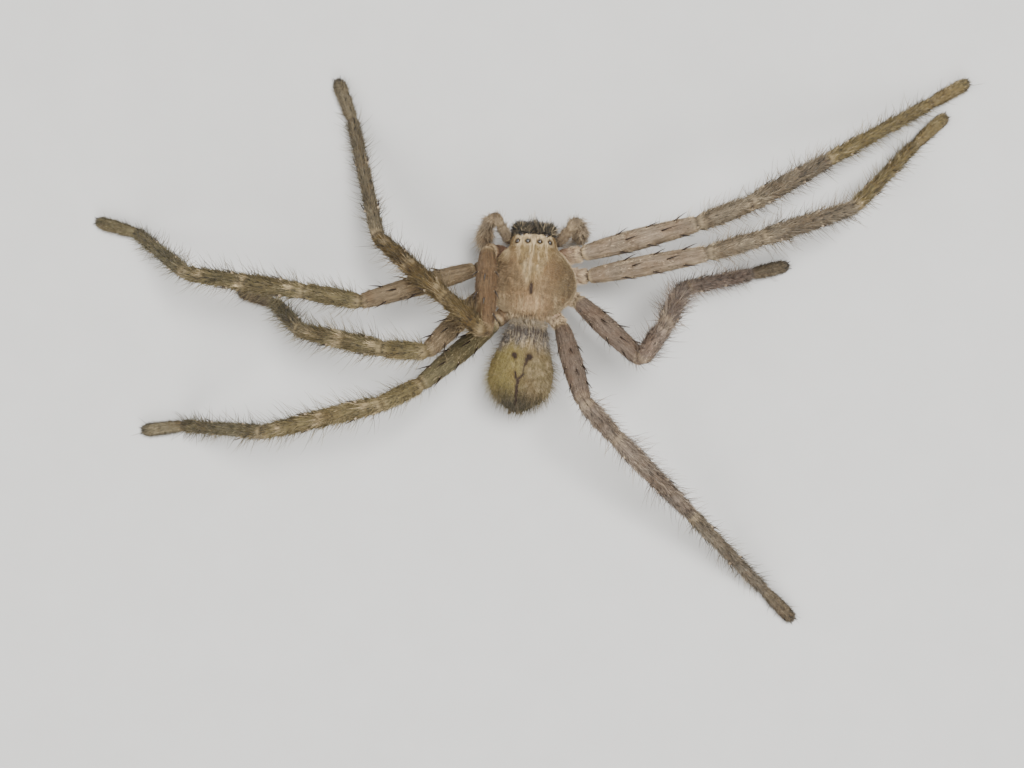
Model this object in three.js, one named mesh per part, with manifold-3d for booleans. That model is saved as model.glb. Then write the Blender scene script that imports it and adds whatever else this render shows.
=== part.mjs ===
// A huntsman spider at life size, standing on eight feet with the left front leg folded high over its neighbours.
// Sizes are in millimetres and angles in degrees. +Y points to the head, +X to the spider's right, +Z up.
// Until the last lines the origin is on the floor under the middle of the carapace.
import * as THREE from "three";
import { mergeVertices } from "three/addons/utils/BufferGeometryUtils.js";
import Module from "manifold-3d";

const wasm = await Module();
wasm.setup();

// Clearance between neighbouring pieces, and the closer one round an eye in its socket.
const GAP = 0.25;
const EYE_GAP = 0.08;

// Faces round a leg, a palp, a spine, the two halves of the body and an eye.
const LEG_SIDES = 10;
const PALP_SIDES = 8;
const SPINE_SIDES = 4;
const BODY_SIDES = 26;
const EYE_SIDES = 8;

// The carapace, front to back: distance forward of its middle, half width, and height of its crown.
const CARAPACE_RIM = 5.0;
const CARAPACE_STATIONS = [
  { y: 5.0, half: 1.95, top: 6.0 },
  { y: 4.88, half: 2.35, top: 6.6 },
  { y: 4.45, half: 2.65, top: 7.2 },
  { y: 3.5, half: 2.95, top: 7.65 },
  { y: 2.7, half: 3.75, top: 7.95 },
  { y: 1.7, half: 4.55, top: 8.15 },
  { y: 0.5, half: 5.15, top: 8.2 },
  { y: -0.8, half: 5.38, top: 8.1 },
  { y: -2.0, half: 5.05, top: 7.8 },
  { y: -3.1, half: 4.2, top: 7.25 },
  { y: -4.0, half: 3.0, top: 6.6 },
  { y: -4.55, half: 1.8, top: 5.85 },
];
const CARAPACE_ROUNDNESS = 0.8;

// The groove in the middle of the carapace.
const FOVEA = { y: -1.35, length: 1.4, half: 0.16, depth: 0.45 };

// The breastplate under the carapace, between the eight hips.
const STERNUM = { front: 3.3, back: -3.6, half: 2.3, bottom: 2.7, roundness: 0.7 };
const LIP = { y: 3.5, half: 0.75, reach: 0.9, bottom: 2.9, top: 4.0 };

// The abdomen along its own axis, from its front at the waist: distance back, half width, top and bottom heights.
const ABDOMEN_FRONT = new THREE.Vector3(0, -5.05, 0);
const ABDOMEN_TURN = -5;
const ABDOMEN_STATIONS = [
  { back: 0, half: 1.5, top: 6.1, bottom: 4.2 },
  { back: 0.35, half: 2.15, top: 6.8, bottom: 3.6 },
  { back: 1.2, half: 2.6, top: 7.6, bottom: 3.05 },
  { back: 2.7, half: 2.95, top: 8.3, bottom: 2.6 },
  { back: 4.2, half: 3.4, top: 8.7, bottom: 2.4 },
  { back: 5.7, half: 3.78, top: 8.75, bottom: 2.4 },
  { back: 7.1, half: 3.75, top: 8.45, bottom: 2.55 },
  { back: 8.3, half: 3.25, top: 7.8, bottom: 2.95 },
  { back: 9.3, half: 2.4, top: 7.0, bottom: 3.45 },
  { back: 10.0, half: 1.4, top: 6.1, bottom: 4.0 },
  { back: 10.35, half: 0.6, top: 5.45, bottom: 4.5 },
];
const WAIST = { radius: 0.75, height: 5.0, overlap: 1.2 };

// Three pairs of short finger-like spinnerets under the end of the abdomen.
const SPINNERETS = { back: 9.5, height: 3.85, length: 1.3, base: 0.36, tip: 0.18, reach: 0.8 };

// The jaws hang from the front of the head, each with a fang folded under it.
const JAW = {
  top: new THREE.Vector3(1.25, 4.9, 5.85),
  tip: new THREE.Vector3(1.2, 5.55, 3.1),
  profile: [[0, 0.85], [0.25, 1.1], [0.6, 1.12], [1, 0.75]],
};
const FANG = {
  root: new THREE.Vector3(1.5, 5.5, 2.45),
  bend: new THREE.Vector3(1.2, 5.2, 1.35),
  tip: new THREE.Vector3(0.42, 4.75, 1.7),
  base: 0.34,
  end: 0.12,
};

// Eight eyes in two rows of four, right-hand halves: the front row looks ahead and the back row looks up.
const EYES = [
  { name: "front_middle", x: 0.5, y: 4.88, z: 6.22, radius: 0.27 },
  { name: "front_side", x: 1.4, y: 4.78, z: 6.28, radius: 0.33 },
  { name: "back_middle", x: 0.68, y: 4.06, z: 7.24, radius: 0.27 },
  { name: "back_side", x: 1.82, y: 4.0, z: 6.86, radius: 0.28 },
];

// The mouth lobes behind the jaws, where the palps begin.
const ENDITE = {
  back: new THREE.Vector3(1.75, 3.55, 3.6),
  front: new THREE.Vector3(1.1, 4.3, 2.55),
  profile: [[0, 0.5], [0.5, 0.62], [1, 0.5]],
};

// Palps: [heading, pitch] of each length, heading counted from +X towards +Y.
const PALP_ROOT = new THREE.Vector3(2.85, 4.35, 4.45);
const PALP_LENGTHS = { femur: 2.6, patella: 1.3, tibia: 2.0, tarsus: 2.6 };
const PALP_PROFILES = {
  femur: [[0, 0.62], [0.4, 0.76], [1, 0.72]],
  patella: [[0, 0.72], [0.5, 0.78], [1, 0.72]],
  tibia: [[0, 0.72], [0.5, 0.78], [1, 0.74]],
  tarsus: [[0, 0.74], [0.4, 0.86], [0.8, 0.72], [1, 0.48]],
};
const PALPS = [
  { side: "left", femur: [127, 46], patella: [122, 32], tibia: [226, -42], tarsus: [262, -42] },
  { side: "right", femur: [50, 46], patella: [60, 32], tibia: [-40, -62], tarsus: [-76, -70] },
];

// Hips: inner and outer ends of the right-hand ones, front pair first.
const HIPS = {
  1: { inner: new THREE.Vector3(2.6, 2.6, 3.85), outer: new THREE.Vector3(5.75, 3.3, 4.8) },
  2: { inner: new THREE.Vector3(3.0, 0.75, 3.85), outer: new THREE.Vector3(6.65, 0.7, 4.8) },
  3: { inner: new THREE.Vector3(2.9, -1.25, 3.85), outer: new THREE.Vector3(5.5, -2.2, 4.8) },
  4: { inner: new THREE.Vector3(2.0, -3.3, 3.85), outer: new THREE.Vector3(3.85, -5.25, 4.8) },
};

// The hip under the folded leg is drawn in and raised at its outer end.
const RAISED_HIP = { side: "left", pair: 1, shift: new THREE.Vector3(0.55, -0.6, 1.8) };

// Lengths of the leg segments, front pair first, and how stout each pair is.
const LEG_LENGTHS = {
  1: { femur: 14.0, patella: 6.0, tibia: 13.2, metatarsus: 16.6, tarsus: 4.6, girth: 1.02 },
  2: { femur: 14.8, patella: 6.1, tibia: 13.8, metatarsus: 14.2, tarsus: 4.5, girth: 0.98 },
  3: { femur: 12.0, patella: 4.8, tibia: 10.2, metatarsus: 10.6, tarsus: 3.9, girth: 1.0 },
  4: { femur: 12.4, patella: 5.1, tibia: 13.7, metatarsus: 15.8, tarsus: 4.4, girth: 1.0 },
};

// Radius along each length, as [share of the length, radius]. The coxa's groove sets off the trochanter ring.
const LEG_PROFILES = {
  coxa: [[0, 0.72], [0.35, 1.08], [0.6, 1.08], [0.7, 0.95], [0.82, 1.08], [1, 1.02]],
  femur: [[0, 1.0], [0.15, 1.18], [0.45, 1.34], [0.8, 1.2], [1, 1.0]],
  patella: [[0, 1.0], [0.5, 1.06], [1, 0.96]],
  tibia: [[0, 0.96], [0.25, 1.04], [0.75, 0.96], [1, 0.86]],
  metatarsus: [[0, 0.86], [0.2, 0.84], [0.75, 0.74], [1, 0.68]],
  tarsus: [[0, 0.68], [0.45, 0.78], [0.85, 0.8], [1, 0.76]],
};

// Heights of the last joint and of the claw end above the floor, and the notch that splits the toe pad in two.
const FOOT_JOINT_HEIGHT = 0.8;
const FOOT_TIP_HEIGHT = 0.55;
const TOE_NOTCH = { depth: 1.0, half: 0.26 };

// Stiff spines: [share of the length, degrees round from the top towards the head end].
const SPINES = {
  femur: [[0.42, 6], [0.72, 6], [0.34, 52], [0.6, 52], [0.84, 52], [0.34, -52], [0.6, -52], [0.84, -52]],
  tibia: [[0.2, 68], [0.62, 68], [0.2, -68], [0.62, -68], [0.36, 145], [0.8, 145], [0.36, -145], [0.8, -145]],
  metatarsus: [[0.22, 75], [0.6, 75], [0.22, -75], [0.6, -75], [0.4, 140], [0.4, -140]],
};
const SPINE = { base: 0.29, length: 1.7, sunk: 0.4, lean: 27 };

// The stance: [heading, pitch] of each segment. The metatarsus drops to the floor, so it has only a heading.
const LEGS = [
  { side: "left", pair: 1, femur: [-87, 46], patella: [142, -26], tibia: [141, -31], metatarsus: 108, tarsus: 114 },
  { side: "left", pair: 2, femur: [-157, 29], patella: [173, 0], tibia: [174.5, -7], metatarsus: 150, tarsus: 167 },
  { side: "left", pair: 3, femur: [-127, 41.5], patella: [180, -10], tibia: [171, -14], metatarsus: 146, tarsus: 164 },
  { side: "left", pair: 4, femur: [-135, 28], patella: [-149, 28], tibia: [-163, -8], metatarsus: -178, tarsus: -170 },
  { side: "right", pair: 1, femur: [15, 27], patella: [24, 0], tibia: [34, -26], metatarsus: 33, tarsus: 33 },
  { side: "right", pair: 2, femur: [11, 34], patella: [20, -7], tibia: [23, -22], metatarsus: 46, tarsus: 46 },
  { side: "right", pair: 3, femur: [-43.5, 37], patella: [62, 30], tibia: [58.5, -55], metatarsus: 17, tarsus: 17 },
  { side: "right", pair: 4, femur: [-74, 45], patella: [-44, -12], tibia: [-41.5, -20], metatarsus: -41.5, tarsus: -42.5 },
];

const COLOURS = {
  carapace: new THREE.MeshStandardMaterial({ color: 0x9c8063, roughness: 0.85, metalness: 0 }),
  underside: new THREE.MeshStandardMaterial({ color: 0x6b4f38, roughness: 0.75, metalness: 0 }),
  abdomen: new THREE.MeshStandardMaterial({ color: 0x988a63, roughness: 0.95, metalness: 0 }),
  leg: new THREE.MeshStandardMaterial({ color: 0x8f7a66, roughness: 0.9, metalness: 0 }),
  jaw: new THREE.MeshStandardMaterial({ color: 0x3d332c, roughness: 0.7, metalness: 0 }),
  fang: new THREE.MeshStandardMaterial({ color: 0x1d0f0b, roughness: 0.25, metalness: 0 }),
  eye: new THREE.MeshStandardMaterial({ color: 0x0b0908, roughness: 0.1, metalness: 0 }),
};

const UP = new THREE.Vector3(0, 0, 1);
const SIDES = { left: -1, right: 1 };

// A point on the spider's right, or its mirror image on the left.
function onSide(point, side) {
  return new THREE.Vector3(point.x * SIDES[side], point.y, point.z);
}

// The unit direction of a heading round +Z and a pitch above the floor.
function direction([heading, pitch]) {
  const h = THREE.MathUtils.degToRad(heading);
  const p = THREE.MathUtils.degToRad(pitch);
  return new THREE.Vector3(Math.cos(h) * Math.cos(p), Math.sin(h) * Math.cos(p), Math.sin(p));
}

function step(from, way, length) {
  return from.clone().addScaledVector(direction(way), length);
}

// A closed three.js geometry as a solid that can be joined and cut.
function solidOf(geometry) {
  const bare = geometry.clone();
  bare.deleteAttribute("normal");
  bare.deleteAttribute("uv");
  const merged = mergeVertices(bare, 1e-4);
  return new wasm.Manifold(
    new wasm.Mesh({
      numProp: 3,
      vertProperties: merged.attributes.position.array,
      triVerts: new Uint32Array(merged.index.array),
    }),
  );
}

// The solid's largest closed surface, which leaves out any loose scrap of a cut.
function largest(solid) {
  return solid.decompose().reduce((a, b) => (a.volume() > b.volume() ? a : b));
}

// A named mesh of the solid, hung at its own pivot.
function piece(name, solid, pivot, material) {
  const made = largest(solid).getMesh();
  const positions = new Float32Array(made.numVert * 3);
  for (let i = 0; i < made.numVert; i++)
    positions.set(made.vertProperties.subarray(i * made.numProp, i * made.numProp + 3), i * 3);
  const geometry = new THREE.BufferGeometry()
    .setAttribute("position", new THREE.BufferAttribute(positions, 3))
    .setIndex(new THREE.BufferAttribute(new Uint32Array(made.triVerts), 1))
    .translate(-pivot.x, -pivot.y, -pivot.z);
  geometry.computeVertexNormals();
  const mesh = new THREE.Mesh(geometry, material);
  mesh.name = name;
  mesh.position.copy(pivot);
  return mesh;
}

// A ring across a limb, seen with +Z up. A spine or a cut is placed by the same angles, counted from the top.
function around(way, degrees) {
  const across = new THREE.Vector3().crossVectors(UP, way).normalize();
  const over = new THREE.Vector3().crossVectors(way, across);
  const angle = THREE.MathUtils.degToRad(degrees);
  return over.multiplyScalar(Math.cos(angle)).addScaledVector(across, Math.sin(angle));
}

// Stations along one straight length: centre, way and radius at each share of it.
function stations(start, end, profile, girth = 1) {
  const way = end.clone().sub(start).normalize();
  return profile.map(([share, radius]) => ({ at: start.clone().lerp(end, share), way, radius: radius * girth }));
}

// A closed tube through the stations, with a dome on each end.
function sweep(path, sides) {
  const dome = (end, sense) =>
    [38, 70].map((degrees) => {
      const angle = THREE.MathUtils.degToRad(degrees);
      const at = end.at.clone().addScaledVector(end.way, sense * end.radius * Math.sin(angle));
      return { at, way: end.way, radius: end.radius * Math.cos(angle) };
    });
  const all = [...dome(path[0], -1).reverse(), ...path, ...dome(path.at(-1), 1)];
  const turn = 360 / sides;
  return loft(
    all.map(({ at, way, radius }) =>
      Array.from({ length: sides }, (_, i) => at.clone().addScaledVector(around(way, 90 - i * turn), radius)),
    ),
  );
}

// One straight tube.
function limb(start, end, profile, girth, sides) {
  return sweep(stations(start, end, profile, girth), sides);
}

// Two straight tubes joined through a bend, which takes the way halfway between the two.
function bentLimb(start, bend, end, first, second, girth, sides) {
  const before = stations(start, bend, first, girth);
  const after = stations(bend, end, second, girth);
  after[0] = { ...after[0], way: halfway(before[0].way, after[0].way) };
  return sweep([...before.slice(0, -1), ...after], sides);
}

// The stiff spines of one straight length, leaning towards its far end.
function withSpines(solid, start, end, kind, girth, side) {
  const way = end.clone().sub(start).normalize();
  const lean = THREE.MathUtils.degToRad(SPINE.lean);
  for (const [share, degrees] of SPINES[kind]) {
    const out = around(way, degrees * SIDES[side]);
    const along = out.clone().multiplyScalar(Math.sin(lean)).addScaledVector(way, Math.cos(lean));
    const skin = radiusAt(LEG_PROFILES[kind], share) * girth;
    const root = start.clone().lerp(end, share).addScaledVector(out, skin).addScaledVector(along, -SPINE.sunk);
    const cone = new THREE.ConeGeometry(SPINE.base, SPINE.length, SPINE_SIDES);
    cone.applyQuaternion(new THREE.Quaternion().setFromUnitVectors(new THREE.Vector3(0, 1, 0), along));
    const middle = root.addScaledVector(along, SPINE.length / 2);
    solid = solid.add(solidOf(cone.translate(middle.x, middle.y, middle.z)));
  }
  return solid;
}

function radiusAt(profile, share) {
  const next = profile.findIndex(([s]) => s >= share);
  const [s1, r1] = profile[next];
  if (next === 0) return r1;
  const [s0, r0] = profile[next - 1];
  return THREE.MathUtils.mapLinear(share, s0, s1, r0, r1);
}

// Rings of equal count joined into one closed skin, with a flat fan over the first and the last.
function loft(rings) {
  const count = rings[0].length;
  const points = rings.flat();
  const faces = [];
  for (let r = 0; r + 1 < rings.length; r++)
    for (let i = 0; i < count; i++) {
      const a = r * count + i;
      const b = r * count + ((i + 1) % count);
      faces.push(a, b, a + count, b, b + count, a + count);
    }
  const last = (rings.length - 1) * count;
  for (let i = 1; i + 1 < count; i++) {
    faces.push(0, i + 1, i);
    faces.push(last, last + i, last + i + 1);
  }
  return solidOf(new THREE.BufferGeometry().setFromPoints(points).setIndex(faces));
}

// Keeps the side of the plane through point that way points to, less half a gap.
function cutAt(solid, point, way, gap = GAP) {
  return solid.trimByPlane(way.toArray(), way.dot(point) + gap / 2);
}

// The plane that halves the bend at a joint faces this way.
function halfway(before, after) {
  return before.clone().add(after).normalize();
}

// A tapering ring of points round the carapace or abdomen: an oval with separate heights over and under its middle.
function ovalRing(centre, half, over, under, roundness, turn = 0) {
  return Array.from({ length: BODY_SIDES }, (_, i) => {
    const angle = (i / BODY_SIDES) * 2 * Math.PI;
    const c = Math.cos(angle);
    const s = Math.sin(angle);
    const across = half * Math.sign(c) * Math.abs(c) ** roundness;
    const tall = (s > 0 ? over : under) * Math.sign(s) * Math.abs(s) ** roundness;
    return new THREE.Vector3(across, 0, tall).applyAxisAngle(new THREE.Vector3(0, 0, 1), turn).add(centre);
  });
}

// The domed shield of the head and chest, flat underneath. grow makes a larger copy to cut clearances with.
function carapaceShape(grow = 0) {
  const rings = CARAPACE_STATIONS.map(({ y, half, top }) =>
    ovalRing(
      new THREE.Vector3(0, y + Math.sign(y) * grow, CARAPACE_RIM),
      half + grow,
      top - CARAPACE_RIM + grow,
      0.35 + grow,
      CARAPACE_ROUNDNESS,
    ),
  );
  return cutAt(loft(rings), new THREE.Vector3(0, 0, CARAPACE_RIM - grow), new THREE.Vector3(0, 0, 1), 0);
}

// The slot of the fovea, cut into the crown.
function foveaCut() {
  const crown = CARAPACE_STATIONS.reduce((a, b) => (a.top > b.top ? a : b)).top;
  const cutter = new THREE.SphereGeometry(1, 10, 6);
  cutter.scale(FOVEA.half, FOVEA.length / 2, FOVEA.depth);
  cutter.translate(0, FOVEA.y, crown - 0.1);
  return solidOf(cutter);
}

// The heart-shaped column between the hips, with the lip plate at its front.
function sternumShape(grow = 0) {
  const length = STERNUM.front - STERNUM.back;
  const rings = [];
  for (let i = 0; i <= 8; i++) {
    const share = -Math.cos((Math.PI * i) / 8);
    const half = STERNUM.half * Math.max(0.3, Math.sqrt(1 - share * share) ** STERNUM.roundness);
    const y = STERNUM.front - (length * (share + 1)) / 2;
    const edge = Math.abs(share) ** 3;
    rings.push(
      ovalRing(
        new THREE.Vector3(0, y - Math.sign(share) * grow, 3.7),
        half + grow,
        CARAPACE_RIM - GAP - 3.7 + grow,
        (3.7 - STERNUM.bottom) * (1 - 0.5 * edge) + grow,
        0.6,
      ),
    );
  }
  return loft(rings);
}

function lipShape() {
  const cap = new THREE.SphereGeometry(1, 12, 8);
  cap.scale(LIP.half, LIP.reach, (LIP.top - LIP.bottom) / 2);
  cap.translate(0, LIP.y, (LIP.top + LIP.bottom) / 2);
  return solidOf(cap);
}

// The rounded sack of the abdomen, turned a little to the left as it trails.
function abdomenPoint(back, x, z) {
  const turn = THREE.MathUtils.degToRad(ABDOMEN_TURN);
  return new THREE.Vector3(x, -back, 0)
    .applyAxisAngle(new THREE.Vector3(0, 0, 1), turn)
    .add(ABDOMEN_FRONT)
    .setZ(z);
}

function abdomenShape() {
  const turn = THREE.MathUtils.degToRad(ABDOMEN_TURN);
  const rings = ABDOMEN_STATIONS.map(({ back, half, top, bottom }) => {
    const middle = (top + bottom) / 2;
    return ovalRing(abdomenPoint(back, 0, middle), half, top - middle, middle - bottom, 0.95, turn);
  });
  return loft(rings);
}

function spinneretShape() {
  const root = abdomenPoint(SPINNERETS.back, 0, SPINNERETS.height);
  const fingers = [
    { across: 0.4, rise: 0.1, spread: 14, drop: -12 },
    { across: 0.42, rise: -0.42, spread: 10, drop: -26 },
    { across: 0.16, rise: -0.14, spread: 4, drop: -20 },
  ];
  let cluster = solidOf(new THREE.SphereGeometry(0.75, 8, 6).translate(root.x, root.y, root.z));
  for (const { across, rise, spread, drop } of fingers)
    for (const side of [-1, 1]) {
      const start = root.clone().add(new THREE.Vector3(side * across, 0, rise));
      const end = step(start, [-90 + ABDOMEN_TURN + side * spread, drop], SPINNERETS.length);
      const profile = [[0, SPINNERETS.base], [1, SPINNERETS.tip]];
      cluster = cluster.add(limb(start, end, profile, 1, 5));
    }
  return cluster;
}

// A curved, tapering fang swept from root to tip.
function fangShape(side) {
  const [root, bend, tip] = [FANG.root, FANG.bend, FANG.tip].map((p) => onSide(p, side));
  const path = new THREE.QuadraticBezierCurve3(root, bend, tip);
  const steps = Array.from({ length: 5 }, (_, i) => i / 4);
  return sweep(
    steps.map((t) => ({
      at: path.getPoint(t),
      way: path.getTangent(t),
      radius: THREE.MathUtils.lerp(FANG.base, FANG.end, t),
    })),
    6,
  );
}

// The outer end of one hip, where its femur begins.
function hipEnd(pair, side) {
  const raised = RAISED_HIP.side === side && RAISED_HIP.pair === pair;
  return onSide(HIPS[pair].outer, side).add(raised ? RAISED_HIP.shift : new THREE.Vector3());
}

// The hip of one leg, and a larger copy to cut clearances with.
function hipShape(pair, side, grow = 0) {
  const profile = LEG_PROFILES.coxa.map(([share, radius]) => [share, radius + grow]);
  return limb(onSide(HIPS[pair].inner, side), hipEnd(pair, side), profile, LEG_LENGTHS[pair].girth, LEG_SIDES);
}

// The upright wedge between the two toe pads, cut back from the tip.
function toeNotch(heel, claws, girth) {
  const way = claws.clone().sub(heel);
  const reach = LEG_PROFILES.tarsus.at(-1)[1] * girth;
  const wedge = new THREE.CylinderGeometry(1, 1, 5, 3);
  wedge.rotateX(Math.PI / 2).scale(TOE_NOTCH.half, TOE_NOTCH.depth / 1.5, 1);
  wedge.translate(0, reach - TOE_NOTCH.depth / 3, 0);
  wedge.rotateZ(Math.atan2(way.y, way.x) - Math.PI / 2);
  return solidOf(wedge.translate(claws.x, claws.y, claws.z));
}

// One walking leg, from the hip to the claws, as four pieces parted at the joints.
function buildLeg(stance) {
  const { side, pair } = stance;
  const sizes = LEG_LENGTHS[pair];
  const girth = sizes.girth;
  const hip = onSide(HIPS[pair].inner, side);
  const root = hipEnd(pair, side);
  const knee = step(root, stance.femur, sizes.femur);
  const shin = step(knee, stance.patella, sizes.patella);
  const ankle = step(shin, stance.tibia, sizes.tibia);
  const fall = Math.asin((ankle.z - FOOT_JOINT_HEIGHT) / sizes.metatarsus);
  const heel = step(ankle, [stance.metatarsus, -THREE.MathUtils.radToDeg(fall)], sizes.metatarsus);
  const flat = Math.asin((FOOT_JOINT_HEIGHT - FOOT_TIP_HEIGHT) / sizes.tarsus);
  const claws = step(heel, [stance.tarsus, -THREE.MathUtils.radToDeg(flat)], sizes.tarsus);

  const way = (a, b) => b.clone().sub(a).normalize();
  const atRoot = halfway(way(hip, root), way(root, knee));
  const atKnee = halfway(way(root, knee), way(knee, shin));
  const atAnkle = halfway(way(shin, ankle), way(ankle, heel));
  const back = (v) => v.clone().negate();
  const bent = (a, b, c, first, second) =>
    bentLimb(a, b, c, LEG_PROFILES[first], LEG_PROFILES[second], girth, LEG_SIDES);

  let coxa = cutAt(hipShape(pair, side), root, back(atRoot)).subtract(trunkClearance);
  if (pair > 1) coxa = coxa.subtract(hipShape(pair - 1, side, GAP));
  const thigh = limb(root, knee, LEG_PROFILES.femur, girth, LEG_SIDES);
  const femur = cutAt(cutAt(withSpines(thigh, root, knee, "femur", girth, side), root, atRoot), knee, back(atKnee));
  const shank = bent(knee, shin, ankle, "patella", "tibia");
  const tibia = cutAt(cutAt(withSpines(shank, shin, ankle, "tibia", girth, side), knee, atKnee), ankle, back(atAnkle));
  const sole = withSpines(bent(ankle, heel, claws, "metatarsus", "tarsus"), ankle, heel, "metatarsus", girth, side);
  const foot = cutAt(cutAt(sole, ankle, atAnkle), new THREE.Vector3(), UP, 0).subtract(toeNotch(heel, claws, girth));

  const name = `leg_${side}_${pair}`;
  const leg = new THREE.Group();
  leg.add(piece(`${name}_hip`, coxa, hip, COLOURS.leg));
  leg.add(piece(`${name}_femur`, femur, root, COLOURS.leg));
  leg.add(piece(`${name}_tibia`, tibia, knee, COLOURS.leg));
  leg.add(piece(`${name}_foot`, foot, ankle, COLOURS.leg));
  return leg;
}

// One feeler-like palp beside the jaws, as two pieces parted at the bend.
function buildPalp(stance) {
  const { side } = stance;
  const root = onSide(PALP_ROOT, side);
  const knee = step(root, stance.femur, PALP_LENGTHS.femur);
  const bend = step(knee, stance.patella, PALP_LENGTHS.patella);
  const wrist = step(bend, stance.tibia, PALP_LENGTHS.tibia);
  const tip = step(wrist, stance.tarsus, PALP_LENGTHS.tarsus);
  const atBend = halfway(direction(stance.patella), direction(stance.tibia));
  const upper = bentLimb(root, knee, bend, PALP_PROFILES.femur, PALP_PROFILES.patella, 1, PALP_SIDES);
  const lower = bentLimb(bend, wrist, tip, PALP_PROFILES.tibia, PALP_PROFILES.tarsus, 1, PALP_SIDES);
  const palp = new THREE.Group();
  const arm = cutAt(upper, bend, atBend.clone().negate()).subtract(trunkClearance).subtract(hipShape(1, side, GAP));
  palp.add(piece(`palp_${side}_femur`, arm, root, COLOURS.leg));
  palp.add(piece(`palp_${side}_tarsus`, cutAt(lower, bend, atBend), bend, COLOURS.leg));
  return palp;
}

// The jaw, fang and mouth lobe of one side, kept clear of the trunk and of each other.
function buildJaw(side) {
  const outward = new THREE.Vector3(SIDES[side], 0, 0);
  const middle = new THREE.Vector3();
  const top = onSide(JAW.top, side);
  const tip = onSide(JAW.tip, side);
  const jaw = cutAt(limb(top, tip, JAW.profile, 1, PALP_SIDES + 2), middle, outward).subtract(trunkClearance);
  const lobe = limb(onSide(ENDITE.back, side), onSide(ENDITE.front, side), ENDITE.profile, 1, PALP_SIDES);
  const jawClearance = limb(top, tip, JAW.profile.map(([t, r]) => [t, r + GAP]), 1, PALP_SIDES + 2);
  const mouth = lobe.subtract(jawClearance).subtract(trunkClearance).subtract(hipShape(1, side, GAP));
  const group = new THREE.Group();
  group.add(piece(`jaw_${side}`, jaw, top, COLOURS.jaw));
  group.add(piece(`fang_${side}`, fangShape(side).subtract(jawClearance), onSide(FANG.root, side), COLOURS.fang));
  group.add(
    piece(`mouth_${side}`, mouth, onSide(ENDITE.back, side), COLOURS.underside),
  );
  return group;
}

function eyeBall({ x, y, z, radius }, side, grow = 0) {
  const ball = new THREE.SphereGeometry(radius + grow, EYE_SIDES, EYE_SIDES - 2);
  return solidOf(ball.translate(x * SIDES[side], y, z));
}

const trunkClearance = carapaceShape(GAP).add(sternumShape(GAP));

const spider = new THREE.Group();
let shield = carapaceShape().subtract(foveaCut());
for (const side of Object.keys(SIDES))
  for (const eye of EYES) {
    shield = shield.subtract(eyeBall(eye, side, EYE_GAP));
    const pivot = onSide(new THREE.Vector3(eye.x, eye.y, eye.z), side);
    spider.add(piece(`eye_${side}_${eye.name}`, eyeBall(eye, side), pivot, COLOURS.eye));
  }
const middle = new THREE.Vector3(0, 0, CARAPACE_RIM);
spider.add(piece("carapace", shield, middle, COLOURS.carapace));
spider.add(piece("sternum", sternumShape().add(lipShape()), new THREE.Vector3(0, 0, STERNUM.bottom), COLOURS.underside));

const waistFront = new THREE.Vector3(0, CARAPACE_STATIONS.at(-1).y + WAIST.overlap, WAIST.height);
const waistBack = abdomenPoint(WAIST.overlap, 0, WAIST.height);
const waistTube = limb(waistFront, waistBack, [[0, WAIST.radius], [1, WAIST.radius]], 1, LEG_SIDES);
const abdomen = abdomenShape();
const back = new THREE.Vector3(0, -1, 0).applyAxisAngle(
  new THREE.Vector3(0, 0, 1),
  THREE.MathUtils.degToRad(ABDOMEN_TURN),
);
const waist = cutAt(waistTube.subtract(trunkClearance), ABDOMEN_FRONT, back.clone().negate(), 2 * GAP);
spider.add(piece("waist", waist, waistFront, COLOURS.underside));
spider.add(piece("abdomen", abdomen, ABDOMEN_FRONT, COLOURS.abdomen));

const swollen = ABDOMEN_STATIONS.map((s) => ({ ...s, half: s.half + GAP, top: s.top + GAP, bottom: s.bottom - GAP }));
const abdomenClearance = loft(
  swollen.map(({ back: distance, half, top, bottom }) => {
    const centre = (top + bottom) / 2;
    const turn = THREE.MathUtils.degToRad(ABDOMEN_TURN);
    return ovalRing(abdomenPoint(distance, 0, centre), half, top - centre, centre - bottom, 0.95, turn);
  }),
);
spider.add(
  piece("spinnerets", spinneretShape().subtract(abdomenClearance), abdomenPoint(SPINNERETS.back, 0, SPINNERETS.height), COLOURS.underside),
);

for (const side of Object.keys(SIDES)) spider.add(buildJaw(side));
for (const stance of PALPS) spider.add(buildPalp(stance));
for (const stance of LEGS) spider.add(buildLeg(stance));

// The frame's origin: on the floor, under the middle of the whole spider.
const box = new THREE.Box3().setFromObject(spider, true);
const centre = box.getCenter(new THREE.Vector3());
spider.position.set(-centre.x, -centre.y, -box.min.z);

const model = new THREE.Group();
model.add(spider);

export default model;
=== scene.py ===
"""The looks of a still, life-size huntsman spider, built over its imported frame.

The spider's own frame is used throughout: millimetres, origin on the floor under the middle of the carapace,
+Y to the head and +X to the spider's right. Meshes are moved to the part's frame, in metres, when made.
"""

from __future__ import annotations

import logging
import math
from collections.abc import Callable, Sequence
from dataclasses import dataclass, field
from enum import Enum

import bmesh
import bpy
import numpy as np
from mathutils import Matrix, Vector

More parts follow.
